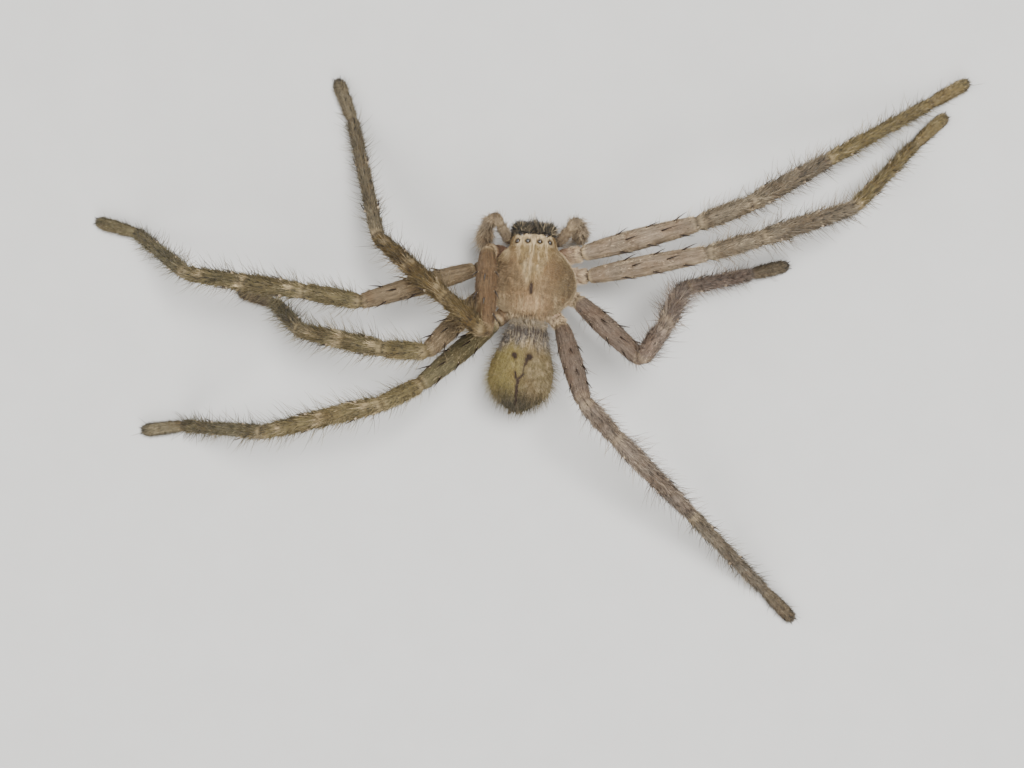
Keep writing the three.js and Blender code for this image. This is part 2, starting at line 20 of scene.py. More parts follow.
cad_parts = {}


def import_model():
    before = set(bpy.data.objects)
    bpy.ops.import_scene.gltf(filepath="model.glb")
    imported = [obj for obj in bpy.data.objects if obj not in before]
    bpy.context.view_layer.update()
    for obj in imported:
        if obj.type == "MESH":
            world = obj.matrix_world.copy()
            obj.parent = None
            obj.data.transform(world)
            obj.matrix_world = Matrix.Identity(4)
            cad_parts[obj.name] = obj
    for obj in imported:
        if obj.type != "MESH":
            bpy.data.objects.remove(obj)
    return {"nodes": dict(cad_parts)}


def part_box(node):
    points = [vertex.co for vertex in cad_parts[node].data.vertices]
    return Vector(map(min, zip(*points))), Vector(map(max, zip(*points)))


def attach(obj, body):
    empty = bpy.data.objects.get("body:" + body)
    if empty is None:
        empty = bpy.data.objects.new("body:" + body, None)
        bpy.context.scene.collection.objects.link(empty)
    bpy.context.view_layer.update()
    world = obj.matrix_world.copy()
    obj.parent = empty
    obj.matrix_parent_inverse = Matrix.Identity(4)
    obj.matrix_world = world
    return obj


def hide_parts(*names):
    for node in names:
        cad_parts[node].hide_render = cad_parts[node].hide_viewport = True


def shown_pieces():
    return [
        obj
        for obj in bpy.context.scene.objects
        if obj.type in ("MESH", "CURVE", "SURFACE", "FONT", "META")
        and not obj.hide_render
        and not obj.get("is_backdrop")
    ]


LOG = logging.getLogger("spider")
MM = 0.001
UP = np.array([0.0, 0.0, 1.0])
Profile = tuple[tuple[float, float], ...]
Colour = tuple[float, float, float]
Point = tuple[float, float, float]
Cell = tuple[float, float, float, float]
WHOLE: Cell = (0.0, 0.0, 1.0, 1.0)
UNWRAP = "OFBake"


class Side(Enum):
    """The two halves of the body."""

    LEFT = "left"
    RIGHT = "right"

    @property
    def sign(self) -> float:
        """The direction of this side along X."""
        return -1.0 if self is Side.LEFT else 1.0

    def place(self, point: Sequence[float]) -> np.ndarray:
        """Returns a point of the right-hand side on this side."""
        return np.array([point[0] * self.sign, point[1], point[2]])


def srgb(red: int, green: int, blue: int) -> Colour:
    """Turns an 8-bit display colour into a linear one.

    Args:
        red: Red, 0 to 255.
        green: Green, 0 to 255.
        blue: Blue, 0 to 255.

    Returns:
        The linear colour.
    """
    shares = (value / 255 for value in (red, green, blue))
    return tuple(p / 12.92 if p <= 0.04045 else ((p + 0.055) / 1.055) ** 2.4 for p in shares)


def heading_pitch(heading: float, pitch: float) -> np.ndarray:
    """Returns the unit direction of a heading round +Z and a pitch above the floor, both in degrees."""
    h, p = math.radians(heading), math.radians(pitch)
    return np.array([math.cos(h) * math.cos(p), math.sin(h) * math.cos(p), math.sin(p)])


def unit(vectors: np.ndarray) -> np.ndarray:
    """Returns the vectors at length one."""
    return vectors / np.maximum(np.linalg.norm(vectors, axis=-1, keepdims=True), 1e-9)


def bell(distance: np.ndarray, width: float) -> np.ndarray:
    """Returns a smooth bump that is 1 at distance 0 and fades out over the width."""
    return np.exp(-((distance / width) ** 2))


def ease(values: np.ndarray, low: float, high: float) -> np.ndarray:
    """Returns a smooth step from 0 at low to 1 at high."""
    share = np.clip((values - low) / (high - low), 0, 1)
    return share * share * (3 - 2 * share)


def blend(first: np.ndarray, second: Sequence[float], share: np.ndarray) -> np.ndarray:
    """Mixes a colour into an array of colours.

    Args:
        first: Colours, with the channels last.
        second: The colour mixed in.
        share: How much of it, without the channel axis.

    Returns:
        The mixed colours.
    """
    return first * (1 - share[..., None]) + np.asarray(second) * share[..., None]


def drift(x: np.ndarray, y: np.ndarray, seed: float) -> np.ndarray:
    """Makes smooth random values over a plane.

    Args:
        x: Positions along the first axis; the pattern's grain is one unit.
        y: Positions along the second axis.
        seed: Which of the many patterns.

    Returns:
        Values from -1 to 1.
    """

    def corner(i: np.ndarray, j: np.ndarray) -> np.ndarray:
        """Returns the fixed random value of a lattice point."""
        raw = np.sin(i * 127.1 + j * 311.7 + seed * 74.7) * 43758.5453
        return (raw - np.floor(raw)) * 2 - 1

    i, j = np.floor(x), np.floor(y)
    a, b = ease(x - i, 0, 1), ease(y - j, 0, 1)
    near = corner(i, j) * (1 - a) + corner(i + 1, j) * a
    far = corner(i, j + 1) * (1 - a) + corner(i + 1, j + 1) * a
    return near * (1 - b) + far * b


def smooth_curve(xs: np.ndarray, ys: np.ndarray, at: np.ndarray) -> np.ndarray:
    """Passes a smooth curve through the given values without overshooting them.

    Args:
        xs: Rising positions.
        ys: A value at each position.
        at: Where the curve is read.

    Returns:
        The curve's values.
    """
    gap = np.diff(xs)
    slope = np.diff(ys) / gap
    tangent = np.zeros(len(xs))
    same = slope[:-1] * slope[1:] > 0
    mean = 2 * slope[:-1] * slope[1:] / np.where(same, slope[:-1] + slope[1:], 1)
    tangent[1:-1] = np.where(same, mean, 0)
    tangent[0], tangent[-1] = slope[0], slope[-1]
    i = np.clip(np.searchsorted(xs, at, side="right") - 1, 0, len(xs) - 2)
    t = np.clip((at - xs[i]) / gap[i], 0, 1)
    return (
        (2 * t**3 - 3 * t**2 + 1) * ys[i]
        + (t**3 - 2 * t**2 + t) * gap[i] * tangent[i]
        + (3 * t**2 - 2 * t**3) * ys[i + 1]
        + (t**3 - t**2) * gap[i] * tangent[i + 1]
    )


def follow(stations: Sequence[Sequence[float]], rings: int) -> list[np.ndarray]:
    """Runs smooth curves through a table of stations.

    Args:
        stations: One row of measures for each station.
        rings: How many rings are spaced evenly along the table.

    Returns:
        Each measure at the rings.
    """
    table = np.array(stations)
    steps = np.linalg.norm(np.diff(table, axis=0), axis=1)
    chord = np.concatenate([[0], np.cumsum(steps)])
    at = np.linspace(0, chord[-1], rings)
    return [smooth_curve(chord, column, at) for column in table.T]


def rings_of(x: np.ndarray, y: np.ndarray, z: np.ndarray) -> np.ndarray:
    """Returns upright rings of points, with one y for each ring."""
    return np.stack([x, np.broadcast_to(y[:, None], x.shape), z], axis=-1)


def oval_ring(sides: int, roundness: float) -> tuple[np.ndarray, np.ndarray]:
    """Shapes a rounded ring, counted from its right-hand side over the top.

    Args:
        sides: How many points it has.
        roundness: 1 for an ellipse, less for a squarer ring.

    Returns:
        The points' shares across and up.
    """
    angle = np.arange(sides) / sides * 2 * math.pi
    c, s = np.cos(angle), np.sin(angle)
    return np.sign(c) * np.abs(c) ** roundness, np.sign(s) * np.abs(s) ** roundness


def strip(number: int, pitch: float, width: float) -> Cell:
    """Returns one full-length strip of an unwrap, counted from the bottom."""
    return 0.0, number * pitch, 1.0, number * pitch + width


def shelf(number: int, total: int) -> Cell:
    """Returns one of so many strips of an unwrap, with a gap above it."""
    return 0.0, number / total, 1.0, number / total + 0.9 / total


def against(vectors: np.ndarray, normals: np.ndarray) -> np.ndarray:
    """Returns the vectors laid flat against the surface, at length one."""
    return unit(vectors - normals * np.sum(vectors * normals, axis=-1, keepdims=True))


@dataclass
class Bench:
    """Where the spider's own frame lies in the part's frame."""

    box_middle: float = 0.225
    shift: np.ndarray = field(default_factory=lambda: np.zeros(3))

    def measure(self) -> None:
        """Reads the shift from the carapace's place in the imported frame."""
        low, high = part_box("carapace")
        middle = (np.array(low, float) + np.array(high, float)) / 2 / MM
        self.shift = np.array([middle[0], middle[1] - self.box_middle, 0.0])

    def metres(self, points: np.ndarray) -> np.ndarray:
        """Returns points of the spider's frame in the part's frame, in metres."""
        return (np.asarray(points) + self.shift) * MM


BENCH = Bench()


# Skin: closed sleeves of rings, which also say how the coat grows on them.


def join_into(whole: bmesh.types.BMesh, part: bmesh.types.BMesh) -> None:
    """Adds a part's faces and data layers to a mesh, and frees the part.

    Args:
        whole: The mesh that takes it.
        part: The part.
    """
    mesh = bpy.data.meshes.new("part")
    part.to_mesh(mesh)
    part.free()
    whole.from_mesh(mesh)
    bpy.data.meshes.remove(mesh)


def finished_mesh(bm: bmesh.types.BMesh, name: str, smooth: bool = True) -> bpy.types.Mesh:
    """Turns a bmesh into a mesh and frees it.

    Args:
        bm: The bmesh.
        name: The mesh's name.
        smooth: Whether it is shaded smooth.

    Returns:
        The mesh.
    """
    mesh = bpy.data.meshes.new(name)
    bm.to_mesh(mesh)
    bm.free()
    if smooth:
        mesh.shade_smooth()
    return mesh


# How far round a limb's end each of its extra rings lies, in degrees.
END_ANGLES = (30, 55, 75, 86)


@dataclass
class Sleeve:
    """One closed sleeve of skin, ring by ring from its root to its end.

    points has the shape (rings, sides, 3). tone is the base colour at each point, mark how dark a marking is
    there, and also painted shade in furrows and folds, pale how much light hair shows, length and cover the
    coat's length and density, and upper runs from -1 underneath to 1 on top. along is each ring's distance
    from the root, rows are the runs of rings that the unwrap stacks above each other, and strands is how
    many streaks of hair run round it.
    """

    name: str
    points: np.ndarray
    tone: np.ndarray
    mark: np.ndarray
    pale: np.ndarray
    length: np.ndarray
    cover: np.ndarray
    upper: np.ndarray
    along: np.ndarray
    rows: list[tuple[int, int]]
    cell: Cell = WHOLE
    strands: float = 26.0

    @classmethod
    def bare(cls, name: str, points: np.ndarray, tone: Colour) -> Sleeve:
        """Starts a sleeve in one colour with an even coat.

        Args:
            name: Its name.
            points: Its rings.
            tone: Its base colour.

        Returns:
            The sleeve.
        """
        shape = points.shape[:2]
        middle = points.mean(axis=1)
        steps = np.linalg.norm(np.diff(middle, axis=0), axis=1)
        along = np.concatenate([[0.0], np.cumsum(steps)])
        radial = unit(points - middle[:, None])
        return cls(
            name=name,
            points=points,
            tone=np.broadcast_to(np.array(tone), (*shape, 3)).copy(),
            mark=np.zeros(shape),
            pale=np.zeros(shape),
            length=np.ones(shape),
            cover=np.ones(shape),
            upper=radial[..., 2].copy(),
            along=along,
            rows=[(0, shape[0] - 1)],
        )

    @property
    def reach(self) -> np.ndarray:
        """Each ring's distance from a limb's first joint, which lies past its rounded root."""
        return self.along - self.along[len(END_ANGLES)]

    def normals(self) -> np.ndarray:
        """Works out which way the skin faces.

        Returns:
            The outward normal at each point.
        """
        along = np.gradient(self.points, axis=0)
        around = (np.roll(self.points, -1, axis=1) - np.roll(self.points, 1, axis=1)) / 2
        made = unit(np.cross(along, around))
        outward = self.points - self.points.mean(axis=1, keepdims=True)
        flip = np.sign(np.sum(made * outward, axis=(1, 2)))
        return made * np.where(flip == 0, 1, flip)[:, None, None]

    def flows(self) -> np.ndarray:
        """Returns the direction towards the sleeve's end at each point."""
        return unit(np.gradient(self.points, axis=0))

    def push(self, amount: np.ndarray) -> None:
        """Moves each point out along its normal by the amount in millimetres."""
        self.points = self.points + self.normals() * amount[..., None]

    def unwrap(self) -> tuple[np.ndarray, np.ndarray]:
        """Lays the rings out in their rows.

        Returns:
            Each ring's place along its row from 0 to 1, and the number of its row.
        """
        share = np.zeros(len(self.points))
        row = np.zeros(len(self.points))
        for number, (start, end) in enumerate(self.rows):
            span = self.along[start : end + 1]
            share[start : end + 1] = (span - span[0]) / max(span[-1] - span[0], 1e-9)
            row[start : end + 1] = number
        return share, row

    def loft(self, whole: bmesh.types.BMesh) -> None:
        """Adds the sleeve to a mesh by extruding its first ring from one ring to the next.

        Args:
            whole: The mesh that takes it.
        """
        bm = bmesh.new()
        layers = SkinLayers.on(bm)
        sides = self.points.shape[1]
        place = BENCH.metres(self.points)
        low_u, low_v, high_u, high_v = self.cell
        total = self.along[-1]
        circle = bmesh.ops.create_circle(bm, cap_ends=False, segments=sides, radius=1)
        ring = list(circle["verts"])
        edges = list(dict.fromkeys(edge for vert in ring for edge in vert.link_edges))
        for number, vert in enumerate(ring):
            vert[layers.number] = number
        made: list[bmesh.types.BMFace] = []
        caps = [bmesh.ops.contextual_create(bm, geom=edges)["faces"]]
        for i in range(len(self.points)):
            if i:
                grown = bmesh.ops.extrude_edge_only(bm, edges=edges)["geom"]
                ring = [g for g in grown if isinstance(g, bmesh.types.BMVert)]
                edges = [g for g in grown if isinstance(g, bmesh.types.BMEdge)]
                made += [g for g in grown if isinstance(g, bmesh.types.BMFace)]
                inside = set(ring)
                edges = [e for e in edges if e.verts[0] in inside and e.verts[1] in inside]
            for vert in ring:
                j = vert[layers.number]
                vert.co = place[i, j]
                vert[layers.tone] = (*self.tone[i, j], 1.0)
                vert[layers.mark] = self.mark[i, j]
                vert[layers.pale] = self.pale[i, j]
                vert[layers.along] = self.along[i]
                vert[layers.upper] = self.upper[i, j]
        caps.append(bmesh.ops.contextual_create(bm, geom=edges)["faces"])
        closed = made + [face for faces in caps for face in faces]
        for face in closed:
            turns = [loop.vert[layers.number] / sides for loop in face.loops]
            wraps = max(turns) - min(turns) > 0.5 and len(turns) < sides
            for loop, turn in zip(face.loops, turns):
                turn += 1.0 if wraps and turn < 0.5 else 0.0
                share = loop.vert[layers.along] / total
                loop[layers.uv].uv = (low_u + (high_u - low_u) * share, low_v + (high_v - low_v) * turn)
        bmesh.ops.recalc_face_normals(bm, faces=closed)
        join_into(whole, bm)


@dataclass
class SkinLayers:
    """The data layers of the skin's mesh while it is being built."""

    number: bmesh.types.BMLayerItem
    tone: bmesh.types.BMLayerItem
    mark: bmesh.types.BMLayerItem
    pale: bmesh.types.BMLayerItem
    along: bmesh.types.BMLayerItem
    upper: bmesh.types.BMLayerItem
    uv: bmesh.types.BMLayerItem

    @classmethod
    def on(cls, bm: bmesh.types.BMesh) -> SkinLayers:
        """Adds the layers to a mesh.

        Args:
            bm: The mesh.

        Returns:
            The layers.
        """
        verts = bm.verts.layers
        return cls(
            number=verts.int.new("number"),
            tone=verts.float_color.new("tone"),
            **{name: verts.float.new(name) for name in ("mark", "pale", "along", "upper")},
            uv=bm.loops.layers.uv.new(UNWRAP),
        )


def link(mesh: bpy.types.Mesh, material: bpy.types.Material) -> bpy.types.Object:
    """Hangs a finished mesh in the scene as a piece of the model.

    Args:
        mesh: The mesh, named as the piece is.
        material: Its finish.

    Returns:
        The piece, riding on the model's one body.
    """
    piece = bpy.data.objects.new(mesh.name, mesh)
    bpy.context.scene.collection.objects.link(piece)
    if material.name not in mesh.materials:
        mesh.materials.append(material)
    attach(piece, "root")
    LOG.info("%s: %d faces", piece.name, len(mesh.polygons))
    return piece


# Coat: tufts of tapering hairs, each a closed three-sided blade.


@dataclass(frozen=True)
class Hair:
    """How one kind of hair grows. Lengths are in millimetres and angles in degrees.

    A tuft has so many blades, each tapering over so many levels. spread varies their length, swing turns the
    tufts, splay their blades, and ruffle varies the rise. droop is the share of the rise that is lost by the
    tip. tint, streak and unlike shift a hair's lightness by its kind, its place and the single hair.
    """

    length: float
    width: float
    rise: float
    blades: int = 1
    levels: int = 1
    spread: float = 0.25
    swing: float = 14.0
    splay: float = 10.0
    ruffle: float = 6.0
    droop: float = 0.4
    tint: float = 0.0
    streak: float = 1.2
    unlike: float = 0.2

    def reach(self) -> np.ndarray:
        """Returns how far each point of a hair is from its tip, as a share of its length."""
        return np.append(np.repeat(1 - np.arange(self.levels) / self.levels, 3), 0.0)

    def faces(self) -> np.ndarray:
        """Lists one hair's triangles.

        Returns:
            Its foot, its three sides from level to level, and its tip.
        """
        pattern = [(0, 2, 1)]
        last = 3 * (self.levels - 1)
        for low in range(0, last, 3):
            for a, b in ((low, low + 1), (low + 1, low + 2), (low + 2, low)):
                pattern += [(a, b, b + 3), (a, b + 3, a + 3)]
        pattern += [(last + c, last + (c + 1) % 3, last + 3) for c in range(3)]
        return np.array(pattern)

    def spots(self) -> np.ndarray:
        """Returns where each point of a hair lies on its patch of the unwrap, from -1 to 1."""
        turn = np.append(np.tile(np.radians([210, 330, 90]), self.levels), 0.0)
        return np.stack([np.cos(turn), np.sin(turn)], axis=1) * self.reach()[:, None]


@dataclass
class Roots:
    """Where tufts stand on the skin, and what they take from it."""

    at: np.ndarray
    normal: np.ndarray
    flow: np.ndarray
    tone: np.ndarray
    mark: np.ndarray
    pale: np.ndarray
    length: np.ndarray
    upper: np.ndarray
    along: np.ndarray
    streak: np.ndarray
    uv: np.ndarray

    def keep(self, wanted: np.ndarray) -> Roots:
        """Returns only the wanted tufts."""
        return Roots(**{name: values[wanted] for name, values in vars(self).items()})

    def shade(self, marks: Callable[[np.ndarray], np.ndarray], length: float) -> None:
        """Darkens and shortens the tufts that reach over a marking.

        Args:
            marks: Says how dark the marking is at given points.
            length: How long the tufts are.
        """
        near, far = (marks(self.at + self.flow * length * share) for share in (0.3, 0.8))
        self.mark = np.maximum(self.mark * 0.3, np.maximum(near, far))
        self.pale = self.pale * np.clip(1 - self.mark, 0, 1)
        self.length = self.length * np.clip(1 - 0.85 * far, 0.15, 1)


def scatter(
    sleeve: Sleeve,
    count: int,
    rng: np.random.Generator,
    weight: np.ndarray | None = None,
    cell: Cell = WHOLE,
) -> Roots:
    """Spreads tuft roots over a sleeve by its area and its cover.

    Args:
        sleeve: The sleeve.
        count: How many tufts.
        rng: Source of the seeded draws.
        weight: A further share of the density at each point.
        cell: The part of the piece's unwrap that this sleeve has.

    Returns:
        The roots.
    """
    points = sleeve.points
    right = np.roll(points, -1, axis=1)
    area = np.linalg.norm(right[:-1] - points[:-1], axis=-1)
    area = area * np.linalg.norm(points[1:] - points[:-1], axis=-1)
    density = sleeve.cover if weight is None else sleeve.cover * weight
    chance = (area * np.maximum(density[:-1], 0)).ravel()
    chosen = rng.choice(len(chance), count, p=chance / chance.sum())
    i, j = np.divmod(chosen, points.shape[1])
    s, t = rng.random(count), rng.random(count)
    k = (j + 1) % points.shape[1]

    def read(values: np.ndarray) -> np.ndarray:
        """Reads a sleeve's values between its points.

        Args:
            values: One value, or one vector, for each point.

        Returns:
            The values at the roots.
        """
        a, b = (s[:, None], t[:, None]) if values.ndim == 3 else (s, t)
        near = values[i, j] * (1 - b) + values[i, k] * b
        far = values[i + 1, j] * (1 - b) + values[i + 1, k] * b
        return near * (1 - a) + far * a

    normal = unit(read(sleeve.normals()))
    share, row = sleeve.unwrap()
    rows = len(sleeve.rows)
    along = sleeve.along[i] * (1 - s) + sleeve.along[i + 1] * s
    across = (j + t) / points.shape[1] * sleeve.strands
    streak = 0.75 * drift(across, along * 0.28, 3.0) + 0.4 * drift(across * 2.1, along * 0.5, 7.0)
    low_u, low_v, high_u, high_v = cell
    u = share[i] * (1 - s) + np.maximum(share[i + 1], share[i]) * s
    v = (row[i] + (j + t) / points.shape[1]) / rows
    return Roots(
        at=read(points),
        normal=normal,
        flow=against(read(sleeve.flows()), normal),
        **{name: read(getattr(sleeve, name)) for name in ("tone", "mark", "pale", "length", "upper")},
        along=along,
        streak=streak,
        uv=np.stack([low_u + (high_u - low_u) * u, low_v + (high_v - low_v) * v], axis=1),
    )


@dataclass
class Coat:
    """One piece of the coat, gathered kind by kind and then made into a mesh."""

    name: str
    rng: np.random.Generator
    share: float = 1.0
    ceiling: float = 17.95
    floor: float = 0.012
    patch: float = 0.003
    verts: list[np.ndarray] = field(default_factory=list)
    faces: list[np.ndarray] = field(default_factory=list)
    uvs: list[np.ndarray] = field(default_factory=list)
    values: dict[str, list[np.ndarray]] = field(default_factory=dict)
    count: int = 0

    def roots(
        self, sleeve: Sleeve, count: int, weight: np.ndarray | None = None, cell: Cell = WHOLE
    ) -> Roots:
        """Returns roots spread over a sleeve with the coat's own draws."""
        return scatter(sleeve, int(count * self.share), self.rng, weight, cell)

    def grow(self, roots: Roots, kind: Hair) -> None:
        """Grows one kind of hair from the roots.

        Args:
            roots: Where the tufts stand.
            kind: What grows there.
        """
        rng, tufts = self.rng, len(roots.at)
        if not tufts:
            return
        hairs = tufts * kind.blades

        def each(values: np.ndarray) -> np.ndarray:
            """Returns a tuft's values for each of its hairs."""
            return np.repeat(values, kind.blades, axis=0)

        normal, flow = each(roots.normal), each(roots.flow)
        across = np.cross(normal, flow)
        swing = each(rng.normal(0, math.radians(kind.swing), tufts))
        swing = swing + rng.normal(0, math.radians(kind.splay), hairs)
        rise = math.radians(kind.rise) + rng.normal(0, math.radians(kind.ruffle), hairs)
        rise = np.clip(rise, math.radians(4), math.radians(88))[:, None]
        length = kind.length * each(roots.length)
        length = length * np.clip(1 + rng.normal(0, kind.spread, hairs), 0.45, 1.7)
        apart = flow * rng.normal(0, 0.05, (hairs, 1)) + across * rng.normal(0, 0.05, (hairs, 1))
        at = each(roots.at) + apart * (kind.blades > 1)
        room = np.maximum(self.ceiling - at[:, 2], 0.1)
        lift = np.maximum(np.sin(rise[:, 0]) * normal[:, 2] + np.cos(rise[:, 0]) * flow[:, 2], 0.05)
        length = np.minimum(length, room / lift)[:, None]
        heading = np.cos(swing)[:, None] * flow + np.sin(swing)[:, None] * across
        centre = at - normal * min(0.08, kind.length * 0.2)
        levels = []
        for k in range(kind.levels):
            angle = rise * (1 - kind.droop * k / max(kind.levels - 1, 1))
            way = np.cos(angle) * heading + np.sin(angle) * normal
            beside = unit(np.cross(normal, way))
            over = np.cross(way, beside)
            width = kind.width * (1 - k / kind.levels) ** 0.6
            half = beside * width / 2
            levels += [centre - half, centre + half, centre + over * width * 0.6]
            centre = centre + way * length / kind.levels
        levels.append(centre)
        points = np.stack(levels, axis=1)
        points[..., 2] = np.clip(points[..., 2], self.floor, self.ceiling)
        per = points.shape[1]
        start = self.count + np.arange(hairs) * per
        self.faces.append((start[:, None, None] + kind.faces()[None]).reshape(-1, 3))
        self.verts.append(points.reshape(-1, 3))
        self.count += hairs * per
        self.uvs.append((each(roots.uv)[:, None] + kind.spots()[None] * self.patch / 2).reshape(-1, 2))
        tint = each(rng.normal(0, 0.18, tufts) + roots.streak * kind.streak * 2.0)
        tint = tint + rng.normal(0, kind.unlike, hairs) + kind.tint
        for name, values in (
            ("tone", each(roots.tone)),
            ("mark", each(roots.mark)),
            ("pale", each(roots.pale)),
            ("tint", tint),
        ):
            self.values.setdefault(name, []).append(values.repeat(per, axis=0))
        self.values.setdefault("tip", []).append(np.tile(1 - kind.reach(), hairs))

    def make(self, material: bpy.types.Material, slot: str) -> bpy.types.Object:
        """Makes the piece.

        Args:
            material: Its finish.
            slot: Not used.

        Returns:
            The piece.
        """
        mesh = bpy.data.meshes.new(self.name)
        verts, faces, uvs = (np.concatenate(parts) for parts in (self.verts, self.faces, self.uvs))
        mesh.vertices.add(len(verts))
        mesh.vertices.foreach_set("co", BENCH.metres(verts).astype(np.float32).ravel())
        mesh.loops.add(faces.size)
        mesh.loops.foreach_set("vertex_index", faces.astype(np.int32).ravel())
        mesh.polygons.add(len(faces))
        mesh.polygons.foreach_set("loop_start", np.arange(0, faces.size, 3, dtype=np.int32))
        layer = mesh.uv_layers.new(name=UNWRAP)
        layer.data.foreach_set("uv", np.clip(uvs, 0, 1)[faces.ravel()].astype(np.float32).ravel())
        for name, parts in self.values.items():
            values = np.concatenate(parts)
            kind, key = ("FLOAT_COLOR", "color") if name == "tone" else ("FLOAT", "value")
            if name == "tone":
                values = np.concatenate([values, np.ones((len(values), 1))], axis=1)
            made = mesh.attributes.new(name, kind, "POINT")
            made.data.foreach_set(key, values.astype(np.float32).ravel())
        mesh.update(calc_edges=True)
        return link(mesh, material)


# Finishes.


@dataclass
class NodeSheet:
    """A node tree with short calls for the nodes that the finishes share."""

    tree: bpy.types.NodeTree

    def join(self, value: object, socket: bpy.types.NodeSocket) -> None:
        """Links an output to a socket, or sets a plain value on it.

        Args:
            value: The output or the value.
            socket: The socket.
        """
        if isinstance(value, bpy.types.NodeSocket):
            self.tree.links.new(value, socket)
        elif isinstance(value, tuple) and socket.type == "RGBA":
            socket.default_value = (*value, 1.0)
        else:
            socket.default_value = value

    def fill(self, node: bpy.types.Node, inputs: dict[int | str, object]) -> None:
        """Joins an output or a plain value to each of a node's named sockets."""
        for name, value in inputs.items():
            self.join(value, node.inputs[name])

    def add(
        self, kind: str, inputs: dict[int | str, object] | None = None, **settings: object
    ) -> bpy.types.Node:
        """Adds a node.

        Args:
            kind: Its type.
            inputs: What its sockets are joined to.
            settings: Its properties.

        Returns:
            The node.
        """
        node = self.tree.nodes.new(kind)
        for name, value in settings.items():
            setattr(node, name, value)
        self.fill(node, inputs or {})
        return node

    def attribute(self, name: str, output: str = "Fac") -> bpy.types.NodeSocket:
        """Returns one of the mesh's own attributes."""
        made = self.add("ShaderNodeAttribute", attribute_name=name, attribute_type="GEOMETRY")
        return made.outputs[output]

    def noise(self, scale: float, detail: float = 2.0, rough: float = 0.6) -> bpy.types.NodeSocket:
        """Makes a cloudy pattern that is fixed in the piece's own space.

        Args:
            scale: How fine it is.
            detail: How many finer layers it has.
            rough: How strong those are.

        Returns:
            The pattern's value.
        """
        place = self.add("ShaderNodeTexCoord").outputs["Object"]
        values = {"Vector": place, "Scale": scale, "Detail": detail, "Roughness": rough}
        return self.add("ShaderNodeTexNoise", values).outputs["Fac"]

    def brushed(self, along: float, across: float) -> bpy.types.NodeSocket:
        """Makes streaks that run lengthwise on the piece's own unwrap.

        Args:
            along: Grains along the unwrap.
            across: Grains across it.

        Returns:
            The streaks' value.
        """
        unwrap = self.add("ShaderNodeUVMap", uv_map=UNWRAP).outputs["UV"]
        drawn = {"Vector": unwrap, "Scale": (along, across, 1.0)}
        place = self.add("ShaderNodeMapping", drawn, vector_type="POINT").outputs["Vector"]
        values = {"Vector": place, "Scale": 1.0, "Detail": 2.0, "Roughness": 0.55}
        return self.add("ShaderNodeTexNoise", values).outputs["Fac"]

    def maths(
        self, operation: str, first: object, second: object, clamp: bool = False
    ) -> bpy.types.NodeSocket:
        """Returns the result of a sum of two values."""
        values = {0: first, 1: second}
        return self.add("ShaderNodeMath", values, operation=operation, use_clamp=clamp).outputs[0]

    def band(
        self, value: object, low: float, high: float, start: float = 0.0, end: float = 1.0
    ) -> bpy.types.NodeSocket:
        """Returns the value mapped from low..high to start..end, held at both ends."""
        limits = {"Value": value, "From Min": low, "From Max": high, "To Min": start, "To Max": end}
        return self.add("ShaderNodeMapRange", limits, clamp=True).outputs["Result"]

    def mix(
        self, share: object, first: object, second: object, blend_type: str = "MIX"
    ) -> bpy.types.NodeSocket:
        """Mixes two colours.

        Args:
            share: How much of the second.
            first: The first colour.
            second: The second colour.
            blend_type: How they are mixed.

        Returns:
            The mixed colour.
        """
        node = self.add("ShaderNodeMix", {"Factor": share}, data_type="RGBA", blend_type=blend_type)
        colours = [socket for socket in node.inputs if socket.type == "RGBA"]
        self.join(first, colours[0])
        self.join(second, colours[1])
        return next(socket for socket in node.outputs if socket.type == "RGBA")

    def dim(self, colour: object, value: object) -> bpy.types.NodeSocket:
        """Returns a colour multiplied by a value."""
        grey = self.add("ShaderNodeCombineColor", {"Red": value, "Green": value, "Blue": value})
        return self.mix(1.0, colour, grey.outputs["Color"], "MULTIPLY")

    def bump(self, height: object, strength: float, distance: float) -> bpy.types.NodeSocket:
        """Returns a normal bent by the height."""
        values = {"Height": height, "Strength": strength, "Distance": distance}
        return self.add("ShaderNodeBump", values).outputs["Normal"]


@dataclass
class Finish(NodeSheet):
    """A new material's sheet, which ends in one shader."""

    material: bpy.types.Material

    @classmethod
    def named(cls, name: str) -> Finish:
        """Starts a material.

        Args:
            name: Its name.

        Returns:
            Its sheet.
        """
        material = bpy.data.materials.new(name)
        material.use_nodes = True
        return cls(material.node_tree, material)

    def dress(self, inputs: dict[int | str, object]) -> bpy.types.Material:
        """Returns the material, with its shader's sockets filled."""
        self.fill(self.tree.nodes["Principled BSDF"], inputs)
        return self.material


